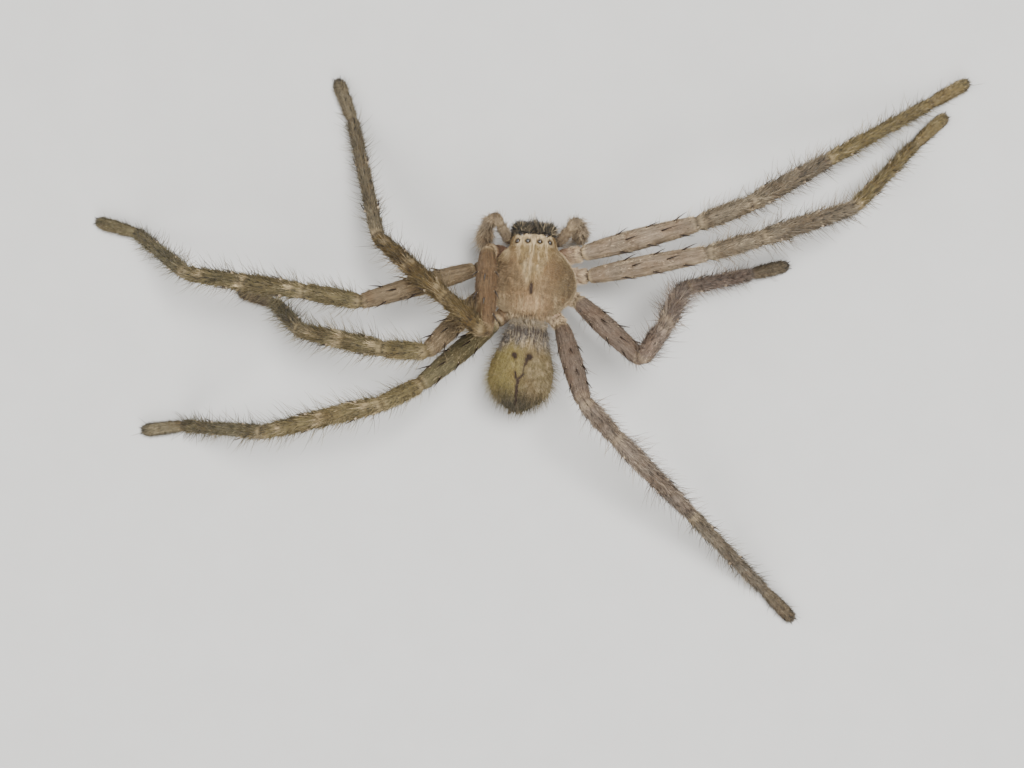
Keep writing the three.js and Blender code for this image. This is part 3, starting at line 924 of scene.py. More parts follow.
def marking_group() -> bpy.types.ShaderNodeTree:
    """Makes the group that skin and coat share, so that both carry the same markings.

    Returns:
        A node group that puts out the colour of a place, and how dark its marking is.
    """
    tree = bpy.data.node_groups.new("body_markings", "ShaderNodeTree")
    tree.interface.new_socket("Colour", in_out="OUTPUT", socket_type="NodeSocketColor")
    tree.interface.new_socket("Mark", in_out="OUTPUT", socket_type="NodeSocketFloat")
    sheet = NodeSheet(tree)
    patches = sheet.noise(420.0, 3.0)
    flecks = sheet.noise(2600.0)
    tone = sheet.attribute("tone", "Color")
    warm = sheet.mix(sheet.band(patches, 0.42, 0.7, 0.0, 0.45), tone, srgb(150, 122, 92), "SOFT_LIGHT")
    mottled = sheet.mix(sheet.band(flecks, 0.6, 0.8, 0.0, 0.22), warm, srgb(70, 54, 40), "MULTIPLY")
    thin = sheet.band(flecks, 0.3, 0.62, 0.75, 1.0)
    light = sheet.maths("MULTIPLY", sheet.attribute("pale"), thin, clamp=True)
    creamy = sheet.mix(light, mottled, srgb(208, 187, 149))
    worn = sheet.band(patches, 0.25, 0.6, 0.7, 1.0)
    dark = sheet.maths("MULTIPLY", sheet.attribute("mark"), worn, clamp=True)
    marked = sheet.mix(dark, creamy, srgb(52, 38, 28))
    sheet.add("NodeGroupOutput", {"Colour": marked, "Mark": dark})
    return tree


@dataclass(frozen=True)
class SkinFinish:
    """Skin under short flat fur, which runs lengthwise over it in fine brushed streaks, darkened as painted
    shade between the tufts.
    """

    name: str = "skin"
    # painted shade: the skin is darkened as the shade between the tufts of the coat, which also sets its
    # overall brightness
    shade: Colour = (0.7, 0.679, 0.644)
    specular: float = 0.25
    relief: float = 0.00012

    def build(self, markings: bpy.types.ShaderNodeTree) -> bpy.types.Material:
        """Makes the material.

        Args:
            markings: The shared markings.

        Returns:
            The material.
        """
        sheet = Finish.named(self.name)
        group = sheet.add("ShaderNodeGroup", node_tree=markings)
        locks, strands = sheet.brushed(16.0, 430.0), sheet.brushed(60.0, 1300.0)
        # the skin colour is multiplied down as painted shade under the coat
        bed = sheet.mix(1.0, group.outputs["Colour"], self.shade, "MULTIPLY")
        combed = sheet.dim(bed, sheet.band(locks, 0.32, 0.68, 0.62, 1.26))
        fine = sheet.dim(combed, sheet.band(strands, 0.32, 0.68, 0.66, 1.24))
        low, fine_low = sheet.maths("MULTIPLY", locks, 0.6), sheet.maths("MULTIPLY", strands, 0.7)
        height = sheet.maths("ADD", fine_low, low)
        return sheet.dress(
            {
                "Base Color": fine,
                "Roughness": sheet.band(sheet.noise(1500.0, 2.0, 0.5), 0.3, 0.7, 0.6, 0.85),
                "Specular IOR Level": self.specular,
                "Normal": sheet.bump(height, 0.8, self.relief),
            }
        )


@dataclass(frozen=True)
class HairFinish:
    """Dry hair, dark at the root and bleached at the tip."""

    name: str
    root: float = 0.48
    bleach: float = 0.24
    tip_colour: Colour = (0.5, 0.4, 0.25)
    variety: float = 0.22
    darkest: float = 0.14
    roughness: float = 0.62
    specular: float = 0.2
    sheen: float = 0.04

    def build(self, markings: bpy.types.ShaderNodeTree) -> bpy.types.Material:
        """Makes the material.

        Args:
            markings: The shared markings.

        Returns:
            The material.
        """
        sheet = Finish.named(self.name)
        group = sheet.add("ShaderNodeGroup", node_tree=markings)
        tip, tint = sheet.attribute("tip"), sheet.attribute("tint")
        grown = sheet.dim(group.outputs["Colour"], sheet.band(tip, 0.0, 0.55, self.root, 1.0))
        unmarked = sheet.maths("SUBTRACT", 1.0, group.outputs["Mark"], clamp=True)
        faded = sheet.maths("MULTIPLY", sheet.band(tip, 0.3, 1.0, 0.0, self.bleach), unmarked)
        bleached = sheet.mix(faded, grown, self.tip_colour)
        light = sheet.maths("ADD", 1.0, sheet.maths("MULTIPLY", tint, self.variety))
        rough = sheet.band(tint, -2.0, 2.0, self.roughness - 0.1, self.roughness + 0.1)
        return sheet.dress(
            {
                "Base Color": sheet.dim(bleached, sheet.maths("MAXIMUM", light, self.darkest)),
                "Roughness": rough,
                "Specular IOR Level": self.specular,
                "Sheen Weight": self.sheen,
            }
        )


@dataclass(frozen=True)
class HornFinish:
    """Hard, dark horn for spines, fangs, claws and jaws."""

    name: str
    colour: Colour
    deep: Colour
    roughness: float
    coat: float = 0.0
    grain: float = 3200.0
    relief: float = 0.25

    def build(self) -> bpy.types.Material:
        """Makes the material.

        Returns:
            The material.
        """
        sheet = Finish.named(self.name)
        cloud, grain = sheet.noise(self.grain * 0.3, 3.0), sheet.noise(self.grain)
        return sheet.dress(
            {
                "Base Color": sheet.mix(sheet.band(cloud, 0.35, 0.65), self.colour, self.deep),
                "Roughness": sheet.band(grain, 0.3, 0.7, self.roughness * 0.8, self.roughness * 1.25),
                "Coat Weight": self.coat,
                "Coat Roughness": 0.12,
                "Normal": sheet.bump(grain, self.relief, 0.00004),
            }
        )


@dataclass(frozen=True)
class EyeFinish:
    """A dark lens under a wet-looking surface, with a faint brown depth."""

    name: str = "eye_lens"
    colour: Colour = (0.006, 0.005, 0.004)
    glow: Colour = (0.05, 0.026, 0.012)

    def build(self) -> bpy.types.Material:
        """Makes the material.

        Returns:
            The material.
        """
        sheet = Finish.named(self.name)
        cloud = sheet.noise(2500.0, 2.0, 0.5)
        return sheet.dress(
            {
                "Base Color": sheet.mix(sheet.band(cloud, 0.4, 0.75), self.colour, self.glow),
                "Roughness": sheet.band(cloud, 0.2, 0.8, 0.04, 0.1),
                "Coat Weight": 1.0,
                "Coat Roughness": 0.02,
            }
        )


@dataclass(frozen=True)
class FloorFinish:
    """A plain pale studio floor."""

    name: str = "studio_floor"
    colour: Colour = (0.47, 0.465, 0.45)
    light: Colour = (0.4935, 0.48825, 0.4725)

    def build(self) -> bpy.types.Material:
        """Makes the material.

        Returns:
            The material.
        """
        sheet = Finish.named(self.name)
        paper = sheet.noise(160.0, 4.0)
        return sheet.dress(
            {
                "Base Color": sheet.mix(sheet.band(paper, 0.3, 0.7), self.colour, self.light),
                "Roughness": sheet.band(paper, 0.3, 0.7, 0.8, 0.95),
            }
        )


@dataclass
class Finishes:
    """Every material of the model, made once."""

    skin: bpy.types.Material
    velvet: bpy.types.Material
    body_hair: bpy.types.Material
    bristle: bpy.types.Material
    spine: bpy.types.Material
    socket: bpy.types.Material
    claw: bpy.types.Material
    fang: bpy.types.Material
    jaw: bpy.types.Material
    eye: bpy.types.Material
    floor: bpy.types.Material

    @classmethod
    def mix_all(cls) -> Finishes:
        """Makes all the finishes.

        Returns:
            The finishes.
        """
        markings = marking_group()
        return cls(
            skin=SkinFinish().build(markings),
            velvet=HairFinish("leg_hair").build(markings),
            body_hair=HairFinish("body_hair", 0.46, 0.2, variety=0.24).build(markings),
            bristle=HairFinish("bristle", 0.34, 0.06, variety=0.42, roughness=0.42).build(markings),
            spine=HornFinish("spine_horn", srgb(48, 34, 26), srgb(22, 15, 12), 0.38, 0.2).build(),
            socket=HornFinish("spine_socket", srgb(186, 168, 140), srgb(140, 118, 92), 0.6).build(),
            claw=HornFinish("claw_horn", srgb(40, 27, 20), srgb(14, 10, 8), 0.3, 0.3).build(),
            fang=HornFinish("fang_horn", srgb(58, 20, 12), srgb(16, 7, 6), 0.16, 0.7, 1500.0, 0.1).build(),
            jaw=HornFinish("jaw_shell", srgb(42, 36, 31), srgb(20, 17, 15), 0.72, 0.0, 3600.0, 0.8).build(),
            eye=EyeFinish().build(),
            floor=FloorFinish().build(),
        )


# The trunk: carapace, abdomen, breastplate and the soft parts between them.


@dataclass(frozen=True)
class Patch:
    """A soft-edged patch on the shield, from above."""

    x: float
    y: float
    across: float
    along: float
    share: float = 1.0

    def at(self, x: np.ndarray, y: np.ndarray) -> np.ndarray:
        """Returns how far the places belong to the patch."""
        return self.share * bell(x - self.x, self.across) * bell(y - self.y, self.along)


@dataclass
class Carapace:
    """The shield over head and chest, with its groove, furrows and raised eye mounds.

    stations holds y, half width and crown height; fovea the groove's y, length, half width and depth; lines
    the x, start and end of the fine dark lines; dots the x, y and size of the dark dots. furrows pairs each
    furrow's heading from the groove with its depth.
    """

    rim: float = 5.0
    roundness: float = 0.8
    sides: int = 192
    rings: int = 96
    depth: float = 0.1
    stations: tuple[tuple[float, float, float], ...] = (
        (-4.6, 0.5, 5.3), (-4.55, 1.8, 5.85), (-4.0, 3.0, 6.6), (-3.1, 4.2, 7.25),
        (-2.0, 5.05, 7.8), (-0.8, 5.38, 8.1), (0.5, 5.15, 8.2), (1.7, 4.55, 8.15),
        (2.7, 3.75, 7.95), (3.5, 2.95, 7.65), (4.45, 2.65, 7.2), (4.88, 2.35, 6.6),
        (5.0, 1.95, 6.0), (5.02, 0.5, 5.4),
    )
    fovea: tuple[float, float, float, float] = (-1.35, 1.4, 0.16, 0.4)
    lines: tuple[tuple[float, float, float], ...] = (
        (-2.2, 2.9, 4.4), (-1.75, 1.2, 2.9), (-1.3, 1.6, 4.7), (-0.85, 0.6, 3.4),
        (-0.5, 0.2, 3.6), (-0.34, 3.6, 4.7), (-0.16, -0.4, 3.9), (0.2, 0.1, 4.7),
        (0.5, 0.6, 3.5), (0.9, 0.9, 3.3), (1.25, 1.9, 4.7), (1.8, 1.0, 2.8),
        (2.25, 2.6, 4.4),
    )
    furrows: Profile = ((28, 0.14), (66, 0.08), (104, 0.08), (142, 0.08))
    dots: tuple[Point, ...] = (
        (1.7, -1.5, 0.14), (1.25, -2.1, 0.13), (1.9, -0.7, 0.1), (-2.3, -2.3, 0.12), (-0.9, -0.4, 0.1),
    )
    nape: Patch = Patch(0.3, -3.1, 1.6, 1.2, 0.8)
    shoulder: Patch = Patch(-3.1, 2.6, 0.5, 0.9)
    flank_patch: Patch = Patch(-3.6, 0.5, 1.4, 3.0, 0.6)
    pale_patches: tuple[Patch, ...] = (Patch(-3.1, 2.7, 0.4, 0.8, 0.5), Patch(3.1, 2.9, 0.3, 0.6, 0.2))
    tan: Colour = srgb(126, 104, 75)
    brown: Colour = srgb(128, 104, 78)
    flank: Colour = srgb(108, 91, 64)
    wheat: Colour = srgb(144, 123, 83)
    rosy: Colour = srgb(186, 156, 120)
    # the rim's own pale tone, raised further as painted light to offset the shade on the edge's steep slope
    rim_pale_and_painted_light: Colour = srgb(236, 214, 180)

    def sleeve(self, eyes: Eyes) -> Sleeve:
        """Shapes the shield and lays its markings out.

        Args:
            eyes: The eyes, which stand on small mounds.

        Returns:
            The sleeve, from the rear edge to the face.
        """
        y, half, top = follow(self.stations, self.rings)
        across, rise = oval_ring(self.sides, self.roundness)
        half = np.maximum(half - self.depth, 0.05)
        over = np.maximum(top - self.rim - self.depth, 0.02)
        x = half[:, None] * across[None]
        z = self.rim + np.where(rise > 0, over[:, None] * rise, 0.14 * rise)
        sleeve = Sleeve.bare("carapace", rings_of(x, y, z), self.tan)
        self.sculpt(sleeve, eyes)
        self.paint(sleeve, eyes)
        return sleeve

    def sculpt(self, sleeve: Sleeve, eyes: Eyes) -> None:
        """Presses the furrows in and raises the mounds.

        Args:
            sleeve: The shield.
            eyes: The eyes that stand on it.
        """
        x, y = sleeve.points[..., 0], sleeve.points[..., 1]
        on_top = ease(sleeve.points[..., 2], self.rim, self.rim + 0.6)
        middle, length, half, depth = self.fovea
        slit = bell(x, half * 1.3) * bell(y - middle, length * 0.52)
        move = -depth * slit - 0.1 * bell(x, 0.8) * bell(y - middle, 1.3)
        for aim, cut in self.furrows:
            s, c = math.sin(math.radians(aim)), math.cos(math.radians(aim))
            out = np.abs(x) * s + (y - middle) * c
            off = np.abs(x) * c - (y - middle) * s
            move -= cut * bell(off, 0.26) * ease(out, 0.5, 1.6) * (1 - ease(out, 3.2, 5.0))
        move += 0.07 * bell(np.abs(x) - 1.3, 0.9) * bell(y - 2.6, 1.4)
        edge = bell(sleeve.points[..., 2] - (self.rim + 0.22), 0.14)
        for eye in eyes.all_eyes():
            gap = np.linalg.norm(sleeve.points - eye.middle, axis=-1)
            move += (0.1 if eye.name == "back_side" else 0.03) * bell(gap - eye.radius * 1.3, 0.2)
            move -= (0.12 if "back" in eye.name else 0.2) * bell(gap - eye.radius, 0.09)
        sleeve.push(move * on_top - 0.04 * edge)

    def paint(self, sleeve: Sleeve, eyes: Eyes) -> None:
        """Lays out the shield's colours, and the length and density of its coat.

        Args:
            sleeve: The shield.
            eyes: The eyes, ringed by white hair.
        """
        x, y, z = (sleeve.points[..., c] for c in range(3))
        middle = self.fovea[0]
        for colour, share in (
            (self.flank, ease(np.abs(x), 1.6, 3.4) * ease(y, -3.5, -1.0)),
            (self.wheat, 0.85 * self.head(x, y, 0.6, 0.4) * ease(y, -1.6, 1.0)),
            (self.rosy, self.nape.at(x, y)),
            # partly painted light: the rim is lifted against the shade on its steep slope
            (self.rim_pale_and_painted_light, self.edge(sleeve.points) * 0.9),
            (self.wheat, self.shoulder.at(x, y)),
            (self.brown, self.flank_patch.at(x, y)),
        ):
            sleeve.tone = blend(sleeve.tone, colour, share)
        sleeve.pale = self.paleness(sleeve.points)
        sleeve.mark = self.marks(sleeve.points)
        for eye in eyes.all_eyes():
            gap = np.linalg.norm(sleeve.points - eye.middle, axis=-1) - eye.radius
            sleeve.pale += 0.7 * bell(gap - 0.24, 0.13)
            sleeve.mark += 0.9 * bell(np.maximum(gap, 0), 0.08)
            sleeve.pale *= ease(gap, 0.02, 0.1)
            sleeve.cover *= ease(gap, 0.05, 0.14)
        sleeve.pale, sleeve.mark = np.clip(sleeve.pale, 0, 1), np.clip(sleeve.mark, 0, 1.6)
        sleeve.length = 1.0 - 0.45 * ease(y, 3.0, 4.6) - 0.45 * bell(x, 0.4) * bell(y - middle, 0.8)
        sleeve.cover *= 1 - 0.97 * bell(x, 0.27) * bell(y - middle - 0.1, 0.75)
        sleeve.cover *= ease(z, self.rim - 0.05, self.rim + 0.1)

    def head(self, x: np.ndarray, y: np.ndarray, narrow: float, widen: float) -> np.ndarray:
        """Returns how far the places belong to the head's wedge, which widens to the front."""
        half = narrow + widen * np.clip(y + 1.0, 0, 6)
        return 1 - ease(np.abs(x), half * 0.6, half * 1.3)

    def paleness(self, points: np.ndarray) -> np.ndarray:
        """Says how pale the shield's hair is, in streaks that narrow from the eyes to the groove.

        Args:
            points: Places on the shield.

        Returns:
            The paleness, from 0 to 1.
        """
        x, y = points[..., 0], points[..., 1]
        bent = x * (1 + 0.12 * np.clip(1.5 - y, 0, 3)) + 0.05 * np.sin(y * 2.4)
        streak = 0.9 * drift(bent * 6.4, y * 0.34, 1.0) + 0.6 * drift(bent * 12.0 + 9.0, y * 0.5, 2.0)
        streak = ease(streak, -0.08, 0.42)
        pale = self.head(x, y, 0.45, 0.37) * ease(y, -1.9, 0.6) * (0.04 + 0.62 * streak)
        pale += ease(y, 3.2, 4.2) * (0.04 + 0.44 * streak)
        pale += 0.3 * streak * (1 - ease(y, -2.6, -1.6)) + 0.22 * bell(x, 0.4) * bell(y + 3.4, 0.7)
        # pale hair on the edge, raised partly as painted light for its shaded slope
        pale += 0.5 * self.edge(points) + 0.12 * streak
        return np.clip(pale + sum(patch.at(x, y) for patch in self.pale_patches), 0, 1)

    def edge(self, points: np.ndarray) -> np.ndarray:
        """Finds the pale edge that runs round the sides, which is also painted lighter to offset the shade
        on its steep slope.

        Args:
            points: Any points on the shield.

        Returns:
            How far they belong to the edge, from 0 to 1.
        """
        y, z = points[..., 1], points[..., 2]
        low = 1 - ease(z, self.rim + 0.6, self.rim + 1.7)
        return low * (1 - ease(y, 2.2, 4.0)) * (0.3 + 0.7 * ease(y, -4.2, -2.6))

    def marks(self, points: np.ndarray) -> np.ndarray:
        """Says how dark the shield's groove, dots and fine lines are.

        Args:
            points: Places on the shield.

        Returns:
            The darkness, past 1 where a marking shows through worn hair.
        """
        x, y = points[..., 0], points[..., 1]
        middle = self.fovea[0]
        width = 0.17 - 0.09 * ease(np.abs(y - middle), 0.1, 0.7)
        mark = 3.4 * bell(x + 0.05 * np.sin(y * 5), width) * bell(y - middle, 0.6)
        for px, py, size in self.dots:
            mark = mark + 0.7 * bell(np.hypot(x - px, y - py), size)
        for px, start, stop in self.lines:
            line = bell(x - px * (0.55 + 0.12 * y) - 0.05 * np.sin(y * 3 + px * 9), 0.065)
            mark = mark + 0.55 * line * ease(y, start - 0.3, start + 0.5) * (1 - ease(y, stop - 0.4, stop))
        return np.clip(mark + 0.6 * bell(y + 4.42, 0.08) * (1 - ease(np.abs(x), 1.6, 2.4)), 0, 1.6)

    def flow(self, roots: Roots) -> None:
        """Turns the lie of the coat: back from the face, then out from the groove to the edges.

        Args:
            roots: Where the tufts stand.
        """
        x, y = roots.at[:, 0], roots.at[:, 1]
        out = np.stack([x * 0.55, (y - self.fovea[0] - 1.0) * 0.35, np.zeros_like(x)], axis=1)
        back = np.array([0.0, -1.0, 0.0])
        share = ease(y, 0.5, 3.0)[:, None]
        roots.flow = against(unit(out + back * 0.5) * (1 - share) + back * share, roots.normal)


@dataclass(frozen=True)
class Eye:
    """One eye: its middle and its radius."""

    name: str
    side: Side
    middle: np.ndarray
    radius: float


@dataclass
class Eyes:
    """Eight glossy eyes in two rows of four."""

    table: tuple[tuple[str, float, float, float, float], ...] = (
        ("front_middle", 0.5, 4.88, 6.22, 0.27),
        ("front_side", 1.4, 4.78, 6.28, 0.33),
        ("back_middle", 0.68, 4.06, 7.24, 0.27),
        ("back_side", 1.82, 4.0, 6.86, 0.28),
    )
    segments: int = 28

    def all_eyes(self) -> list[Eye]:
        """Returns the eight eyes."""
        return [Eye(name, side, side.place(at), radius) for name, *at, radius in self.table for side in Side]

    def bare(self, roots: Roots, length: float) -> Roots:
        """Leaves out the tufts that would lie over an eye.

        Args:
            roots: Where the tufts stand.
            length: How long they are.

        Returns:
            The other tufts.
        """
        free = np.ones(len(roots.at), bool)
        for eye in self.all_eyes():
            for share in (0.0, 0.5, 1.0):
                reach = roots.at + roots.flow * length * share * roots.length[:, None]
                free &= np.linalg.norm(reach - eye.middle, axis=1) > eye.radius + 0.07
        return roots.keep(free)

    def build(self, material: bpy.types.Material) -> None:
        """Makes each eye as a piece of its own in place of its plain solid.

        Args:
            material: The lens finish.
        """
        for eye in self.all_eyes():
            bm = bmesh.new()
            at = Matrix.Translation(Vector(BENCH.metres(eye.middle)))
            turns, radius = self.segments, eye.radius * MM
            bmesh.ops.create_uvsphere(bm, u_segments=turns, v_segments=turns // 2, radius=radius, matrix=at)
            piece = link(finished_mesh(bm, f"lens_{eye.side.value}_{eye.name}"), material)
            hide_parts(f"eye_{eye.side.value}_{eye.name}")


@dataclass
class Abdomen:
    """The soft sack behind the waist, turned a little to the left.

    Across and back are measured on its own axis. stations holds back, half width, top and bottom; spots and
    pits hold across, back and size; lines two ends, a width and a darkness; streaks the across, start, end
    and lean of the dark streaks in front.
    """

    front: tuple[float, float] = (0.0, -5.05)
    turn: float = -5.0
    roundness: float = 0.95
    sides: int = 144
    rings: int = 100
    depth: float = 0.2
    stations: tuple[tuple[float, float, float, float], ...] = (
        (-0.02, 0.7, 5.5, 4.7), (0.0, 1.5, 6.1, 4.2), (0.35, 2.15, 6.8, 3.6),
        (1.2, 2.6, 7.6, 3.05), (2.7, 2.95, 8.3, 2.6), (4.2, 3.4, 8.7, 2.4),
        (5.7, 3.78, 8.75, 2.4), (7.1, 3.75, 8.45, 2.55), (8.3, 3.25, 7.8, 2.95),
        (9.3, 2.4, 7.0, 3.45), (10.0, 1.4, 6.1, 4.0), (10.35, 0.6, 5.45, 4.5),
        (10.4, 0.3, 5.1, 4.8),
    )
    spots: tuple[Point, ...] = (
        (-1.12, 4.05, 0.27), (0.64, 4.08, 0.35), (0.36, 4.4, 0.2), (-0.94, 4.3, 0.17),
    )
    pits: tuple[Point, ...] = ((-1.0, 4.0, 0.25), (0.56, 3.95, 0.25))
    lines: tuple[tuple[tuple[float, float], tuple[float, float], float, float], ...] = (
        ((0.62, 4.2), (0.17, 5.05), 0.16, 1.5), ((0.17, 5.05), (0.2, 6.1), 0.12, 0.9),
        ((0.2, 6.1), (-0.33, 6.95), 0.15, 1.7), ((-1.05, 4.2), (-0.82, 5.0), 0.12, 0.8),
        ((-0.82, 5.0), (-0.78, 6.0), 0.09, 0.45), ((-0.78, 6.0), (-0.33, 6.95), 0.13, 1.5),
        ((-0.33, 6.9), (-0.25, 8.2), 0.17, 2.0), ((-0.25, 8.2), (-0.14, 9.5), 0.13, 1.6),
        ((0.9, 5.9), (2.6, 5.3), 0.12, 0.3), ((0.7, 6.9), (2.9, 6.2), 0.12, 0.34),
        ((0.5, 7.7), (2.7, 7.2), 0.1, 0.26),
    )
    slate: Colour = srgb(102, 98, 95)
    straw: Colour = srgb(124, 112, 66)
    cream: Colour = srgb(114, 101, 70)
    tail: Colour = srgb(58, 53, 37)
    belly: Colour = srgb(116, 100, 74)
    streaks: tuple[tuple[float, float, float, float], ...] = (
        (-1.8, 1.4, 2.2, 0.1), (-1.5, 0.8, 1.9, 0.06), (-1.2, 0.7, 2.0, 0.05), (-0.95, 0.6, 1.4, 0.04),
        (-0.72, 1.1, 2.5, -0.04), (-0.4, 0.8, 1.3, 0.0), (0.02, 0.7, 1.9, 0.03), (0.4, 1.2, 2.1, -0.05),
        (0.62, 0.6, 1.2, 0.0), (0.92, 0.7, 1.8, 0.02), (0.9, 1.9, 2.7, -0.1), (1.25, 0.9, 1.5, -0.06),
        (1.55, 0.7, 2.0, 0.03), (1.85, 1.0, 1.7, 0.02), (2.1, 0.9, 1.8, 0.05),
    )

    @property
    def aim(self) -> tuple[float, float]:
        """The cosine and sine of the axis's turn."""
        return math.cos(math.radians(self.turn)), math.sin(math.radians(self.turn))

    def place(self, back: np.ndarray, x: np.ndarray, z: np.ndarray) -> np.ndarray:
        """Returns points from their distance behind the waist, across the axis, and height."""
        c, s = self.aim
        return np.stack([x * c + back * s + self.front[0], x * s - back * c + self.front[1], z], axis=-1)

    def local(self, points: np.ndarray) -> tuple[np.ndarray, np.ndarray]:
        """Returns the points' distances across the axis and behind the waist."""
        (c, s), x, y = self.aim, points[..., 0] - self.front[0], points[..., 1] - self.front[1]
        return x * c + y * s, x * s - y * c

    def sleeve(self) -> Sleeve:
        """Shapes the sack and lays its markings out.

        Returns:
            The sleeve, from the waist to the tail.
        """
        back, half, top, bottom = follow(self.stations, self.rings)
        half = np.maximum(half - self.depth, 0.05)
        middle, tall = (top + bottom) / 2, np.maximum((top - bottom) / 2 - self.depth, 0.05)
        across, rise = oval_ring(self.sides, self.roundness)
        x = half[:, None] * across[None]
        z = middle[:, None] + tall[:, None] * rise[None]
        points = self.place(np.broadcast_to(back[:, None], x.shape), x, z)
        sleeve = Sleeve.bare("abdomen", points, self.cream)
        self.paint(sleeve)
        return sleeve

    def paint(self, sleeve: Sleeve) -> None:
        """Presses the small pits and the furrow in and lays out colours, markings, painted shade in the
        furrow, and coat.

        Args:
            sleeve: The sack.
        """
        x, back = self.local(sleeve.points)
        upper = sleeve.upper
        wave = 0.35 * np.sin(x * 3.1 + 0.5) + 0.2 * np.sin(x * 7.3)
        for colour, share in (
            (self.straw, (1 - ease(x, -0.9, 0.7)) * ease(back, 2.2, 3.4)),
            (self.slate, 1 - ease(back + wave - 0.6 * ease(np.abs(x), 1.2, 2.4), 1.9, 3.3)),
            (self.tail, ease(back, 6.8, 9.6)),
            (self.belly, 1 - ease(upper, -0.6, 0.05)),
        ):
            sleeve.tone = blend(sleeve.tone, colour, share)
        on_top, below = ease(upper, 0.1, 0.4), 1 - ease(upper, -0.6, -0.2)
        furrow = bell(back - 3.1, 0.12) * (1 - ease(np.abs(x), 1.8, 2.4)) * below
        # painted shade: the furrow under the sack is marked dark as well as pressed in
        sleeve.mark = np.clip(self.marks(sleeve.points) * on_top + 0.7 * furrow, 0, 1.4)
        sleeve.pale = self.paleness(sleeve.points) * on_top
        sleeve.pale += 0.25 * bell(np.abs(x) - 1.3, 0.7) * bell(back - 2.0, 0.9) * below
        marks = np.clip(sleeve.mark, 0, 1)
        sleeve.pale = np.clip(sleeve.pale, 0, 1) * (1 - marks)
        pits = sum(0.1 * bell(np.hypot(x - px, back - py), size) for px, py, size in self.pits)
        folds = 0.03 * np.sin(back * 5.2 + 0.6 * np.cos(x * 2)) * (1 - ease(upper, -0.2, 0.5))
        sleeve.push(-pits * on_top - 0.05 * marks * on_top + folds - 0.12 * furrow)
        sleeve.length = 0.85 + 0.25 * ease(back, 2.0, 6.0) - 0.35 * (1 - ease(upper, -0.7, 0.0))
        sleeve.length *= 1 - 0.45 * marks
        sleeve.cover *= 1 - 0.6 * marks

    def paleness(self, points: np.ndarray) -> np.ndarray:
        """Says how pale the hair is: white wisps in front, cream on the right.

        Args:
            points: Places on the sack.

        Returns:
            The paleness, from 0 to 1.
        """
        x, back = self.local(points)
        streak = drift(x * 8.4 + 0.7 * np.sin(back * 2.7 + x), back * 1.2, 5.0)
        fine = drift(x * 4.6 + 4.0, back * 3.2, 8.0)
        wave = 0.35 * np.sin(x * 3.1 + 0.5)
        pale = 0.32 * (1 - ease(back + wave, 1.7, 3.1)) * ease(-streak, 0.1, 0.5)
        pale += 0.5 * bell(back + wave * 0.6 - 2.7, 0.7) * ease(-streak - 0.4 * fine, -0.1, 0.5)
        cream = ease(x, 0.2, 1.8) * ease(back, 3.2, 5.0) * (1 - ease(back, 7.5, 9.0))
        pale += 0.24 * cream * ease(fine, -0.5, 0.5)
        return np.clip(pale + 0.35 * bell(back - 0.35, 0.3) + 0.12 * ease(fine, 0.1, 0.7), 0, 1)

    def marks(self, points: np.ndarray) -> np.ndarray:
        """Says how dark the two spots, the forked line and the front streaks are.

        Args:
            points: Places on the sack.

        Returns:
            The darkness, past 1 where a marking shows through worn hair.
        """
        x, back = self.local(points)
        marks = np.zeros_like(x)
        for px, py, size in self.spots:
            marks = np.maximum(marks, 2.0 * bell(np.hypot(x - px, back - py), size))
        for (x0, b0), (x1, b1), width, strength in self.lines:
            run = np.array([x1 - x0, b1 - b0])
            share = np.clip(((x - x0) * run[0] + (back - b0) * run[1]) / (run @ run), 0, 1)
            wander = 0.05 * np.sin(back * 6.0)
            gap = np.hypot(x - x0 - share * run[0] + wander, back - b0 - share * run[1])
            marks = np.maximum(marks, strength * bell(gap, width))
        for px, start, stop, lean in self.streaks:
            streak = 1.1 * bell(x - px - lean * (back - start), 0.075)
            streak *= ease(back, start - 0.25, start + 0.2) * (1 - ease(back, stop - 0.3, stop + 0.3))
            marks = np.maximum(marks, streak)
        return np.clip(marks, 0, 1.4)


